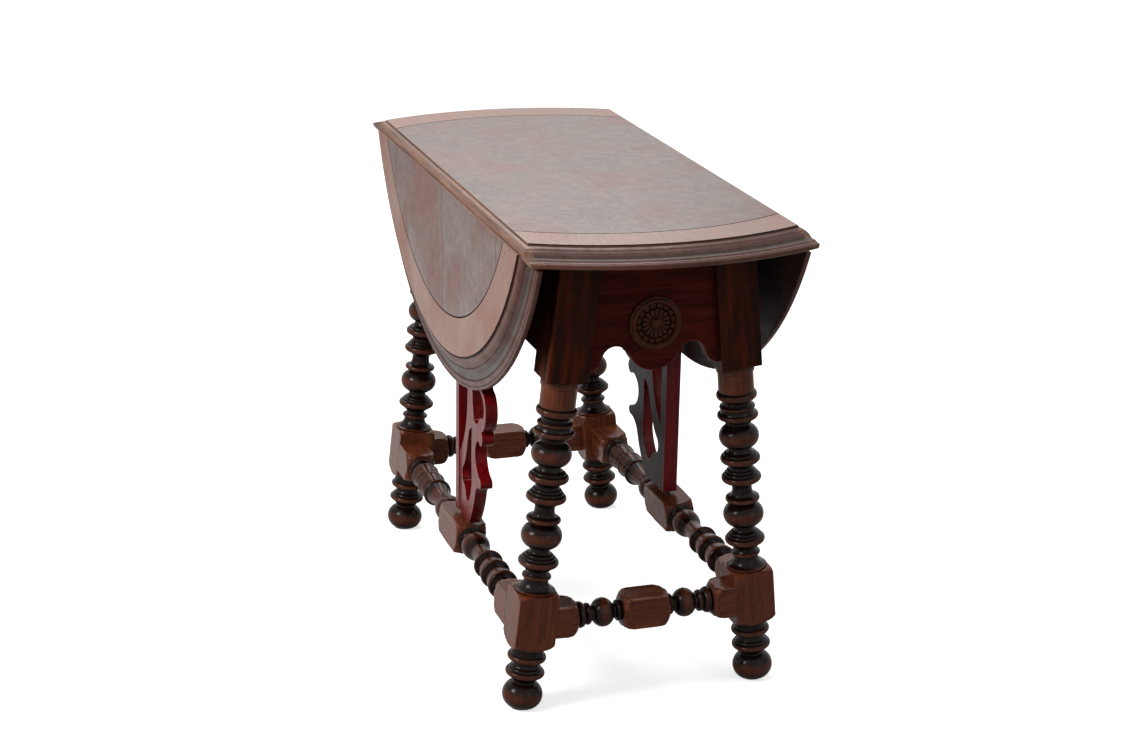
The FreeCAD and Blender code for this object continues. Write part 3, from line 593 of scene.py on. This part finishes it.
def mark_hollows(mesh, half, bare=(0.0, 0.0)):
    """Marks each vertex of a turned blank by how dark its glaze lies: none on the squares, a
    little on the turned work and most in its hollows. One stretch may be rubbed bare."""
    layer = mesh.verts.layers.float.new("hollow")
    rings = {(round(v.co.z, 5), round(min(v.co.xy.length, half * MM), 5)) for v in mesh.verts}
    depth = {}
    for along, radius in rings:
        proud = max(r for z, r in rings if abs(z - along) < GLAZE_REACH * MM)
        turned = TURNED_GLAZE if proud < (half - 0.3) * MM else 0.0
        dark = min(turned + (proud - radius) / (GLAZE_REACH * MM), 1.0)
        depth[along, radius] = 0.0 if bare[0] <= along / MM <= bare[1] else dark
    for vertex in mesh.verts:
        key = (round(vertex.co.z, 5), round(min(vertex.co.xy.length, half * MM), 5))
        vertex[layer] = depth[key]


def wood_piece(name, mesh, body, finishes, node, smooth=35):
    """Finishes a mesh as a piece that rides on a body and stands for a frame node."""
    bmesh.ops.recalc_face_normals(mesh, faces=mesh.faces[:])
    data = bpy.data.meshes.new(name)
    mesh.to_mesh(data)
    mesh.free()
    for face in data.polygons:
        face.use_smooth = True
    data.set_sharp_from_angle(angle=math.radians(smooth))
    for finish in finishes:
        data.materials.append(bpy.data.materials[finish])
    piece = bpy.data.objects.new(name, data)
    bpy.context.scene.collection.objects.link(piece)
    piece.modifiers.new("flat_faces_stay_flat", "WEIGHTED_NORMAL").keep_sharp = True
    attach(piece, body)
    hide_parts(node)


def merged_copy(node):
    """A copy of a frame node with its loose triangles merged into flat faces."""
    mesh = bmesh.new()
    mesh.from_mesh(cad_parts[node].data)
    bmesh.ops.remove_doubles(mesh, verts=mesh.verts[:], dist=1e-5)
    bmesh.ops.dissolve_limit(
        mesh, angle_limit=math.radians(0.5), verts=mesh.verts[:], edges=mesh.edges[:]
    )
    return mesh


def close_holes(mesh):
    """Caps every opening that a cut or a spin has left."""
    bmesh.ops.holes_fill(mesh, edges=[e for e in mesh.edges if e.is_boundary], sides=0)


def ease_arrises(mesh, width):
    """Rounds the sharp edges and gives them the second finish."""
    sharp = [
        e for e in mesh.edges
        if len(e.link_faces) == 2 and e.calc_face_angle() > math.radians(30)
    ]
    made = bmesh.ops.bevel(
        mesh, geom=sharp, offset=width, segments=2, profile=0.5, affect="EDGES", material=-1,
        clamp_overlap=True,
    )
    for face in made["faces"]:
        face.material_index = 1


# ------------------------------------------------------------------ legs

# Turned profile of a leg by height above the floor, as (height, radius, bulge).
LEG_PROFILE = (
    (-12.0, 0.0, 0),
    (-12.0, 16.0, 0),
    (0.0, 16.0, 0),
    (41.0, 17.5, 14.2),
    (44.0, 17.5, 0),
    (53.0, 27.4, -0.5),
    (61.5, 27.6, 2.6),
    (62.5, 25.5, 0),
    (66.0, 24.0, 0.5),
    (67.0, 21.8, 0),
    (74.0, 19.0, -0.6),
    (78.0, 26.8, 0.3),
    (87.0, 27.4, 2.6),
    (88.0, 25.6, 0),
    (97.0, 25.0, -0.6),
    (99.0, 25.0, 0),
    (101.0, 28.5, 0),
    (115.0, 46.0, 3.0),
    (183.0, 46.0, 0),
    (189.0, 28.0, 3.0),
    (190.5, 30.0, 0),
    (192.0, 31.0, 0.4),
    (209.0, 18.0, -3.5),
    (210.5, 18.0, 0),
    (215.5, 18.0, 4.2),
    (218.0, 16.0, 0),
    (222.0, 16.0, 0),
    (225.0, 20.5, -0.3),
    (231.0, 27.8, -0.5),
    (240.5, 28.0, 2.8),
    (241.3, 26.0, 0),
    (244.8, 24.2, 0.7),
    (245.6, 22.0, 0),
    (249.0, 19.6, 0.7),
    (249.8, 17.4, 0),
    (253.0, 15.0, -0.4),
    (258.5, 15.2, 0),
    (295.0, 18.0, 14.4),
    (296.0, 19.6, 0),
    (299.5, 24.0, -0.3),
    (306.5, 24.2, 2.1),
    (307.3, 21.6, 0),
    (312.0, 16.2, -0.8),
    (324.0, 15.2, -0.6),
    (332.5, 27.4, -0.8),
    (342.5, 27.4, 3.0),
    (343.2, 25.6, 0),
    (346.8, 24.0, 0.7),
    (347.6, 22.0, 0),
    (351.2, 20.6, 0.7),
    (352.0, 18.6, 0),
    (356.5, 18.0, -0.3),
    (363.5, 27.2, -0.8),
    (373.8, 27.6, 3.0),
    (374.6, 25.4, 0),
    (378.0, 23.6, 0.7),
    (378.8, 21.2, 0),
    (384.0, 17.0, -0.6),
    (387.0, 16.2, 0),
    (422.5, 16.8, 13.9),
    (426.0, 17.5, 0),
    (427.0, 20.0, 0),
    (429.0, 20.0, 0),
    (434.5, 28.2, -0.5),
    (442.5, 28.6, 2.7),
    (443.2, 26.6, 0),
    (448.0, 24.5, -0.3),
    (449.5, 24.5, 0),
    (454.5, 24.5, 2.5),
    (457.0, 22.0, 0),
    (460.0, 22.0, 0),
    (465.0, 26.0, -1.0),
    (477.0, 26.5, 4.6),
    (480.0, 27.0, 0),
    (509.0, 26.9, 0),
    (510.5, 29.0, 0.4),
    (519.0, 29.0, 0),
    (521.0, 46.0, 0),
    (760.0, 46.0, 0),
    (760.0, 0.0, 0),
)


def cut_level(mesh, height, above):
    """Cuts a mesh level at a height and closes it."""
    geometry = mesh.verts[:] + mesh.edges[:] + mesh.faces[:]
    bmesh.ops.bisect_plane(
        mesh, geom=geometry, plane_co=(0, 0, height * MM), plane_no=(0, 0, 1),
        clear_outer=above, clear_inner=not above,
    )
    close_holes(mesh)


def lean(x_way, x, y, z, turn=None):
    """A matrix that stands a piece drawn along Z at a place, raked towards the middle."""
    matrix = Matrix.Translation((x * MM, y * MM, z * MM)) @ Matrix.Rotation(-x_way * RAKE, 4, "Y")
    return matrix @ turn if turn else matrix


class TABLE_OT_legs(bpy.types.Operator):
    """Turns the four raked legs from squared blanks"""

    bl_idname = "table.legs"
    bl_label = "Legs"

    def execute(self, context):
        sizes = context.scene.table_sizes
        raised = [(z / math.cos(RAKE), r, b) for z, r, b in LEG_PROFILE]
        for end, y_way in ENDS.items():
            for side, x_way in SIDES.items():
                mesh = spin_profile(raised, sizes.turning_steps)
                mark_hollows(mesh, LEG_SQUARE / 2, bare=(NECK_Z, HEAD_Z))
                mark_grain(mesh, start=(x_way * 0.3, y_way * 0.7, 0.0))
                square_up(mesh, LEG_SQUARE / 2, sizes.arris)
                # The squares at the head of each leg take the third finish, painted dark for the
                # shade under the top.
                for face in mesh.faces:
                    if face.calc_center_median().z > HEAD_Z * MM / math.cos(RAKE):
                        face.material_index = 2
                mesh.transform(lean(x_way, x_way * FOOT_X, y_way * LEG_Y, 0))
                cut_level(mesh, UNDERSIDE, True)
                cut_level(mesh, 0, False)
                node = f"{end}_{side}_leg"
                wood_piece(
                    f"turned_{node}", mesh, "frame",
                    ["glazed_walnut", "rubbed_walnut_arris", "painted_shade_walnut_head"],
                    node,
                )
        return {"FINISHED"}


# ------------------------------------------------------------------ stretchers

SIDE_PROFILE = (
    (0.0, 37.0, 0),
    (44.0, 37.0, 0),
    (57.0, 20.0, 2.6),
    (58.5, 18.0, 0),
    (62.0, 15.0, -0.5),
    (106.0, 14.5, 8.2),
    (112.0, 14.0, 0),
    (154.5, 20.6, -1.8),
    (156.0, 22.4, 0.3),
    (161.0, 22.6, 1.6),
    (164.0, 16.5, -0.4),
    (192.0, 22.6, 1.4),
    (201.0, 22.8, 1.5),
    (204.0, 15.8, -0.4),
    (234.0, 22.6, 1.4),
    (243.0, 22.6, 1.5),
    (246.0, 15.2, -0.4),
    (262.0, 15.6, -1.5),
    (264.5, 19.5, 0),
    (270.0, 20.5, 1.4),
    (271.0, 19.4, 0),
    (290.0, 37.0, 2.6),
    (335.8, 37.0, 0),
    (335.8, 0.0, 0),
)
END_PROFILE = (
    (0.0, 37.0, 0),
    (17.0, 37.0, 0),
    (38.0, 20.0, 4.0),
    (38.5, 14.0, 0),
    (45.5, 13.5, 2.6),
    (47.0, 11.0, 0),
    (50.0, 11.5, 0),
    (81.5, 12.0, 10.6),
    (85.0, 12.0, 0),
    (86.0, 14.6, 0),
    (93.0, 16.0, 1.5),
    (94.5, 14.0, 0),
    (104.0, 20.4, 2.0),
    (106.5, 17.0, 0),
    (126.0, 37.0, 3.5),
    (150.0, 37.0, 0),
    (150.0, 0.0, 0),
)


def both_ways(points):
    """A half profile, from the middle outwards, carried on to the other end."""
    mirrored = [(-along, radius) for along, radius, _ in reversed(points)]
    bulges = [0] + [bulge for _, _, bulge in reversed(points)]
    half = [(along, radius, bulge) for (along, radius), bulge in zip(mirrored, bulges)]
    return half + list(points[1:])


class TABLE_OT_side_stretchers(bpy.types.Operator):
    """Turns the two side stretchers, which carry the wings on their middle blocks"""

    bl_idname = "table.side_stretchers"
    bl_label = "Side stretchers"

    def execute(self, context):
        sizes = context.scene.table_sizes
        offset = (LEG_SQUARE - STRETCHER_SQUARE) / 2
        x = FOOT_X - math.tan(RAKE) * STRETCHER_Z + offset * math.cos(RAKE)
        z = STRETCHER_Z + offset * math.sin(RAKE)
        for side, way in SIDES.items():
            mesh = spin_profile(both_ways(SIDE_PROFILE), sizes.turning_steps)
            mark_hollows(mesh, STRETCHER_SQUARE / 2)
            mark_grain(mesh, start=(way * 0.5, 1.3, 0.0))
            square_up(mesh, STRETCHER_SQUARE / 2, sizes.arris)
            mesh.transform(lean(way, way * x, 0, z, Matrix.Rotation(math.pi / 2, 4, "X")))
            node = f"{side}_side_stretcher"
            wood_piece(
                f"turned_{node}", mesh, "frame", ["glazed_walnut", "rubbed_walnut_arris"],
                node,
            )
        return {"FINISHED"}


class TABLE_OT_end_stretchers(bpy.types.Operator):
    """Turns the two end stretchers and cuts their ends to the rake of the legs"""

    bl_idname = "table.end_stretchers"
    bl_label = "End stretchers"

    def execute(self, context):
        sizes = context.scene.table_sizes
        for end, y_way in ENDS.items():
            mesh = spin_profile(both_ways(END_PROFILE), sizes.turning_steps)
            mark_hollows(mesh, END_SQUARE / 2)
            mark_grain(mesh, start=(y_way * 0.4, 1.9, 0.0))
            square_up(mesh, END_SQUARE / 2, sizes.arris)
            y = y_way * (LEG_Y + (LEG_SQUARE - END_SQUARE) / 2)
            place = Matrix.Translation((0, y * MM, STRETCHER_Z * MM))
            mesh.transform(place @ Matrix.Rotation(math.pi / 2, 4, "Y"))
            for x_way in SIDES.values():
                outward = Vector((x_way * math.cos(RAKE), 0, math.sin(RAKE)))
                foot = Vector((x_way * FOOT_X * MM, 0, 0)) - outward * (LEG_SQUARE / 2 * MM)
                bmesh.ops.bisect_plane(
                    mesh, geom=mesh.verts[:] + mesh.edges[:] + mesh.faces[:], plane_co=foot,
                    plane_no=outward, clear_outer=True,
                )
                close_holes(mesh)
            node = f"{end}_end_stretcher"
            wood_piece(
                f"turned_{node}", mesh, "frame", ["glazed_walnut", "rubbed_walnut_arris"],
                node,
            )
        return {"FINISHED"}


# ------------------------------------------------------------------ rosettes

ROSETTE_PROFILE = (
    (0.0, 40.5, 0),
    (2.0, 40.5, 0),
    (5.6, 37.5, 1.4),
    (5.6, 31.0, 2.6),
    (3.4, 30.2, -0.3),
    (4.4, 28.0, 0.3),
    (5.4, 26.0, 0.3),
    (5.0, 24.0, 0.2),
    (4.6, 22.4, 0),
    (5.6, 21.0, 0.2),
    (6.4, 19.0, 0.2),
    (6.6, 17.0, 0.1),
    (6.2, 15.0, 0.1),
    (5.4, 13.0, 0.1),
    (4.8, 11.0, 0),
    (4.4, 9.4, 0),
    (4.2, 8.0, 0),
    (6.2, 7.2, 0.4),
    (8.4, 4.0, 1.0),
    (8.5, 0.0, 0.2),
)
ROSETTE_STEPS = 192
PETALS = 16
HEART_RADIUS, RING_INNER, RING_OUTER = 8.0, 23.0, 30.5
PETAL_CUT, GAP_CUT, TIP_CUT = 2.0, 2.2, 1.8


class TABLE_OT_rosettes(bpy.types.Operator):
    """Carves the flower on each apron"""

    bl_idname = "table.rosettes"
    bl_label = "Rosettes"

    def execute(self, context):
        for end, y_way in ENDS.items():
            mesh = spin_profile(ROSETTE_PROFILE, ROSETTE_STEPS)
            mark_grain(mesh, start=(0.1, 2.4, y_way * 0.2))
            hollow = mesh.verts.layers.float.new("hollow")
            for vertex in mesh.verts:
                radius = vertex.co.xy.length / MM
                angle = math.atan2(vertex.co.y, vertex.co.x)
                # Round-ended petals, and leaf tips between them and the ring.
                crown = abs(math.cos(PETALS / 2 * angle))
                between = abs(math.sin(PETALS / 2 * angle))
                groove = max(0.0, 1 - crown / 0.55)
                reach = 19.0 + 2.6 * crown**0.5
                cut = 0.0
                if HEART_RADIUS < radius <= reach:
                    cut = PETAL_CUT * groove
                elif reach < radius < RING_INNER:
                    cut = GAP_CUT
                elif RING_INNER <= radius < RING_OUTER:
                    cut = TIP_CUT * max(0.0, 1 - between / 0.5)
                vertex.co.z -= cut * MM
                vertex[hollow] = min(cut / 2.4, 0.8)
            stand = Matrix.Rotation(y_way * -math.pi / 2, 4, "X")
            place = Matrix.Translation((0, y_way * APRON_FACE_Y * MM, ROSETTE_Z * MM))
            mesh.transform(place @ stand)
            close_holes(mesh)
            wood_piece(
                f"carved_{end}_rosette", mesh, "frame", ["carved_walnut"],
                f"{end}_rosette",
            )
        return {"FINISHED"}


# ------------------------------------------------------------------ board and leaves

ROUND_FROM = 440.0  # an edge nearer the middle than this is never part of a round
SHORTEST_CHORD, LONGEST_CHORD = 12.0, 120.0
LEVEL = 0.02  # how far an edge may stray and still run round
SHORTFALL = 0.12  # keeps the rounds within the frame's facets
ROUND_CUTS = 5


def round_out(mesh, centre_z):
    """Divides the edges that run round the top and moves the new points out to the true circle.
    The circle lies flat round Z, or stands round X about a height for a hanging leaf."""

    def away(point):
        return math.hypot(point.x, point.y) if centre_z is None else math.hypot(
            point.y, point.z - centre_z * MM
        )

    def deep(point):
        return point.z if centre_z is None else point.x

    def runs_round(edge):
        first, last = (v.co for v in edge.verts)
        return (
            away(first) > ROUND_FROM * MM and abs(away(first) - away(last)) < LEVEL * MM
            and abs(deep(first) - deep(last)) < LEVEL * MM
            and SHORTEST_CHORD * MM < edge.calc_length() < LONGEST_CHORD * MM
        )

    layer = mesh.verts.layers.float.new("reach")
    old = set(mesh.verts)
    for vertex in old:
        vertex[layer] = away(vertex.co)
    bmesh.ops.subdivide_edges(
        mesh, edges=[e for e in mesh.edges if runs_round(e)], cuts=ROUND_CUTS
    )
    for vertex in mesh.verts:
        if vertex in old:
            continue
        stretch = (vertex[layer] - SHORTFALL * MM) / away(vertex.co)
        vertex.co.y *= stretch
        if centre_z is None:
            vertex.co.x *= stretch
        else:
            vertex.co.z = centre_z * MM + (vertex.co.z - centre_z * MM) * stretch


class TABLE_OT_top(bpy.types.Operator):
    """Veneers the board and the two leaves as one round, and works their moulded edges"""

    bl_idname = "table.top"
    bl_label = "Board and leaves"

    def execute(self, context):
        self.lay("centre_board", "frame", 0)
        for side, way in SIDES.items():
            self.lay(f"{side}_leaf", f"{side}_leaf", way)
        return {"FINISHED"}

    def lay(self, node, body, way):
        """Finishes one board. Its plan is where each point lies when the top is open flat: across,
        along and down from the top face."""
        mesh = merged_copy(node)
        round_out(mesh, HANG_CENTRE if way else None)
        plan = mesh.verts.layers.float_vector.new("plan")
        grain = mesh.verts.layers.float_vector.new("grain")
        for vertex in mesh.verts:
            x, y, z = vertex.co
            if way:
                x, z = way * (HANG_CENTRE * MM - z), (TOP - LEAF_FACE) * MM + abs(x)
            vertex[plan] = (x, y, TOP * MM - z)
            vertex[grain] = (x, z, y)
        # The fourth finish, on the underside and on the faces that turn inwards, is painted dark
        # for shade.
        for face in mesh.faces:
            centre = sum((v[plan] for v in face.verts), Vector()) / len(face.verts)
            down, out = centre.z / MM, centre.xy.length / MM
            joint = abs(centre.x) / MM
            if down < 0.05:
                face.material_index = 0
            elif down > BOARD_THICK - 0.3:
                face.material_index = 3
            elif joint > JOINT_X - 0.1 if way == 0 else joint < COVE_X and out < EDGE_RADIUS + 5:
                face.material_index = 2
            elif out > EDGE_RADIUS:
                face.material_index = 1
            else:
                face.material_index = 3
        wood_piece(
            f"veneered_{node}", mesh, body,
            [
                "french_polished_veneer", "moulded_walnut_edge_painted_light", "rubbed_joint_walnut",
                "painted_shade_underside",
            ],
            node, smooth=16,
        )


# ------------------------------------------------------------------ flat frame pieces

APRON_ARRIS = 0.8
WING_ARRIS = 1.3


class TABLE_OT_aprons(bpy.types.Operator):
    """Eases the shaped aprons, the side rails and the glue blocks"""

    bl_idname = "table.aprons"
    bl_label = "Aprons and rails"

    def execute(self, context):
        lengthways = Matrix.Rotation(math.pi / 2, 4, "X")
        across = Matrix.Rotation(-math.pi / 2, 4, "Y")
        for end, y_way in ENDS.items():
            self.ease(f"{end}_apron", across, y_way * 0.9, "stained_apron_oak", "frame_wood")
        for side, way in SIDES.items():
            self.ease(
                f"{side}_side_rail", lengthways, way * 1.7, "stained_apron_oak", "frame_wood"
            )
            for end, y_way in ENDS.items():
                self.ease(
                    f"{end}_{side}_glue_block", lengthways, way * 2.3 + y_way * 0.4,
                    "rough_sawn_pine", "secondary_wood",
                )
        return {"FINISHED"}

    def ease(self, node, turn, start, finish, slot):
        """Eases one board, turned so that its grain runs along Z."""
        mesh = merged_copy(node)
        mark_grain(mesh, turn, (start, start, 0.0))
        ease_arrises(mesh, APRON_ARRIS * MM)
        second = finish if slot == "secondary_wood" else "worn_apron_arris_painted_highlight"
        wood_piece(f"eased_{node}", mesh, "frame", [finish, second], node)


class TABLE_OT_wings(bpy.types.Operator):
    """Rounds the arrises of the pierced wings"""

    bl_idname = "table.wings"
    bl_label = "Wings"

    def execute(self, context):
        for side, way in SIDES.items():
            node = f"{side}_wing"
            mesh = merged_copy(node)
            mark_grain(mesh, start=(way * 0.6, 3.1, 0.0))
            ease_arrises(mesh, WING_ARRIS * MM)
            mesh.normal_update()
            # Faces towards the middle of the table take the third finish, painted dark for shade.
            for face in mesh.faces:
                if face.material_index == 0 and way * face.normal.x < -0.95:
                    face.material_index = 2
            wood_piece(
                f"pierced_{node}", mesh, node,
                ["polished_mahogany", "worn_mahogany_arris_painted_highlight", "painted_shade_inner_face"],
                node,
            )
        return {"FINISHED"}


# ------------------------------------------------------------------ stage

FLOOR_HALF = 12.0  # metres
LAMP_AIM = Vector((0, 0, 0.45))
LAMPS = (  # name, width in metres, watts, place in metres
    ("left_window", 1.0, 62.0, (-2.6, -0.6, 2.1)),
    ("high_back_window", 2.0, 46.0, (0.3, 2.4, 2.9)),
    ("front_fill", 1.0, 4.0, (1.4, -2.8, 1.9)),
)
SURROUND_LIGHT = 0.34  # strength of the surround where it lights the table
FLOOR_GLOW = 0.7
CAMERA_PLACE = (-1074.6, -3230.2, 1541.3)
CAMERA_LENS, SENSOR_WIDTH = 69.66, 36.0
YAW, PITCH, ROLL = math.radians(18.33), math.radians(18.72), math.radians(1.09)


class TABLE_OT_stage(bpy.types.Operator):
    """Sets the floor, the lamps, the pale surround and the camera"""

    bl_idname = "table.stage"
    bl_label = "Stage"

    def execute(self, context):
        scene = context.scene
        scene.view_settings.view_transform = "Standard"
        mesh = bmesh.new()
        bmesh.ops.create_grid(mesh, x_segments=1, y_segments=1, size=FLOOR_HALF)
        data = bpy.data.meshes.new("studio_floor")
        mesh.to_mesh(data)
        mesh.free()
        floor = bpy.data.objects.new("studio_floor", data)
        scene.collection.objects.link(floor)
        data.materials.append(self.floor_paint())
        self.light_surround(scene)
        for name, size, watts, place in LAMPS:
            lamp = bpy.data.lights.new(name, "AREA")
            lamp.size, lamp.energy = size, watts
            holder = bpy.data.objects.new(name, lamp)
            holder.location = place
            aim = LAMP_AIM - holder.location
            holder.rotation_euler = aim.to_track_quat("-Z", "Y").to_euler()
            holder.visible_camera = False
            scene.collection.objects.link(holder)
        self.place_camera(scene)
        return {"FINISHED"}

    def seen(self, tree):
        """1 for the rays that look at the surround, 0 for those that light the table."""
        path = add_node(tree, "ShaderNodeLightPath").outputs
        looks = add_node(
            tree, "ShaderNodeMath", {"operation": "MAXIMUM"},
            {0: path["Is Camera Ray"], 1: path["Is Glossy Ray"]},
        ).outputs["Value"]
        return add_node(
            tree, "ShaderNodeMath", {"operation": "MAXIMUM"},
            {0: looks, 1: path["Is Transmission Ray"]},
        ).outputs["Value"]

    def floor_paint(self):
        """Matt white paper: white to the eye, greyer to what it lights, with the shadow kept."""
        material, tree, shader = new_material("matt_studio_paper", Roughness=0.9)
        seen = self.seen(tree)
        mottle = add_node(
            tree, "ShaderNodeTexNoise", {"Scale": 3.0, "Detail": 2.0},
            {"Vector": add_node(tree, "ShaderNodeTexCoord").outputs["Object"]},
        ).outputs["Fac"]
        white = add_node(tree, "ShaderNodeValToRGB", {"stops": (
            (0.0, "#f4f4f4"), (0.5, "#f8f8f8"), (1.0, "#fbfbfb"),
        )}, {"Fac": mottle}).outputs["Color"]
        colour = add_node(
            tree, "ShaderNodeMix", {"data_type": "RGBA", 6: "#808080"}, {0: seen, 7: white}
        ).outputs[2]
        tree.links.new(colour, shader.inputs["Base Color"])
        tree.links.new(white, shader.inputs["Emission Color"])
        path = add_node(tree, "ShaderNodeLightPath").outputs
        direct = add_node(
            tree, "ShaderNodeMath", {"operation": "MAXIMUM"},
            {0: path["Is Camera Ray"], 1: path["Is Transmission Ray"]},
        ).outputs["Value"]
        glow = add_node(
            tree, "ShaderNodeMath", {"operation": "MULTIPLY", 1: FLOOR_GLOW}, {0: direct}
        ).outputs["Value"]
        tree.links.new(glow, shader.inputs["Emission Strength"])
        return material

    def light_surround(self, scene):
        """A white surround that lights the table only gently."""
        world = bpy.data.worlds.new("studio_surround")
        world.use_nodes = True
        scene.world = world
        tree = world.node_tree
        level = add_node(
            tree, "ShaderNodeMapRange", {"To Min": SURROUND_LIGHT}, {"Value": self.seen(tree)}
        ).outputs["Result"]
        backdrop = tree.nodes["Background"]
        backdrop.inputs["Color"].default_value = linear("#ffffff")
        tree.links.new(level, backdrop.inputs["Strength"])

    def place_camera(self, scene):
        """Stands the camera in front and to the left, looking down at the table."""
        camera = bpy.data.cameras.new("table_camera")
        camera.lens = CAMERA_LENS
        camera.sensor_width = SENSOR_WIDTH
        view = bpy.data.objects.new("table_camera", camera)
        scene.collection.objects.link(view)
        level = math.cos(PITCH)
        ahead = Vector((math.sin(YAW) * level, math.cos(YAW) * level, -math.sin(PITCH)))
        right = Vector((math.cos(YAW), -math.sin(YAW), 0))
        up = right.cross(ahead)
        across = right * math.cos(ROLL) + up * math.sin(ROLL)
        upward = up * math.cos(ROLL) - right * math.sin(ROLL)
        turn = Matrix((across, upward, -ahead)).transposed().to_4x4()
        view.matrix_world = Matrix.Translation(Vector(CAMERA_PLACE) * MM) @ turn
        scene.camera = view


# ------------------------------------------------------------------ panel and registration

PIECES = (
    TABLE_OT_finishes,
    TABLE_OT_top,
    TABLE_OT_aprons,
    TABLE_OT_wings,
    TABLE_OT_legs,
    TABLE_OT_side_stretchers,
    TABLE_OT_end_stretchers,
    TABLE_OT_rosettes,
    TABLE_OT_stage,
)


class TABLE_PT_pieces(bpy.types.Panel):
    """The table's pieces, sizes and colours"""

    bl_idname = "TABLE_PT_pieces"
    bl_label = "Butterfly Table"
    bl_space_type = "VIEW_3D"
    bl_region_type = "UI"
    bl_category = "Table"

    def draw(self, context):
        for group in (context.scene.table_sizes, context.scene.table_colours):
            for key in group.__annotations__:
                self.layout.prop(group, key)
        for piece in PIECES:
            self.layout.operator(piece.bl_idname)


CLASSES = (TableSizes, TableColours, *PIECES, TABLE_PT_pieces)


def register():
    for group in CLASSES:
        bpy.utils.register_class(group)
    bpy.types.Scene.table_sizes = PointerProperty(type=TableSizes)
    bpy.types.Scene.table_colours = PointerProperty(type=TableColours)


def unregister():
    del bpy.types.Scene.table_colours
    del bpy.types.Scene.table_sizes
    for group in reversed(CLASSES):
        bpy.utils.unregister_class(group)


def main():
    """Makes every piece."""
    register()
    for piece in PIECES:
        area, call = piece.bl_idname.split(".")
        getattr(getattr(bpy.ops, area), call)()


if __name__ == "__main__":
    main()
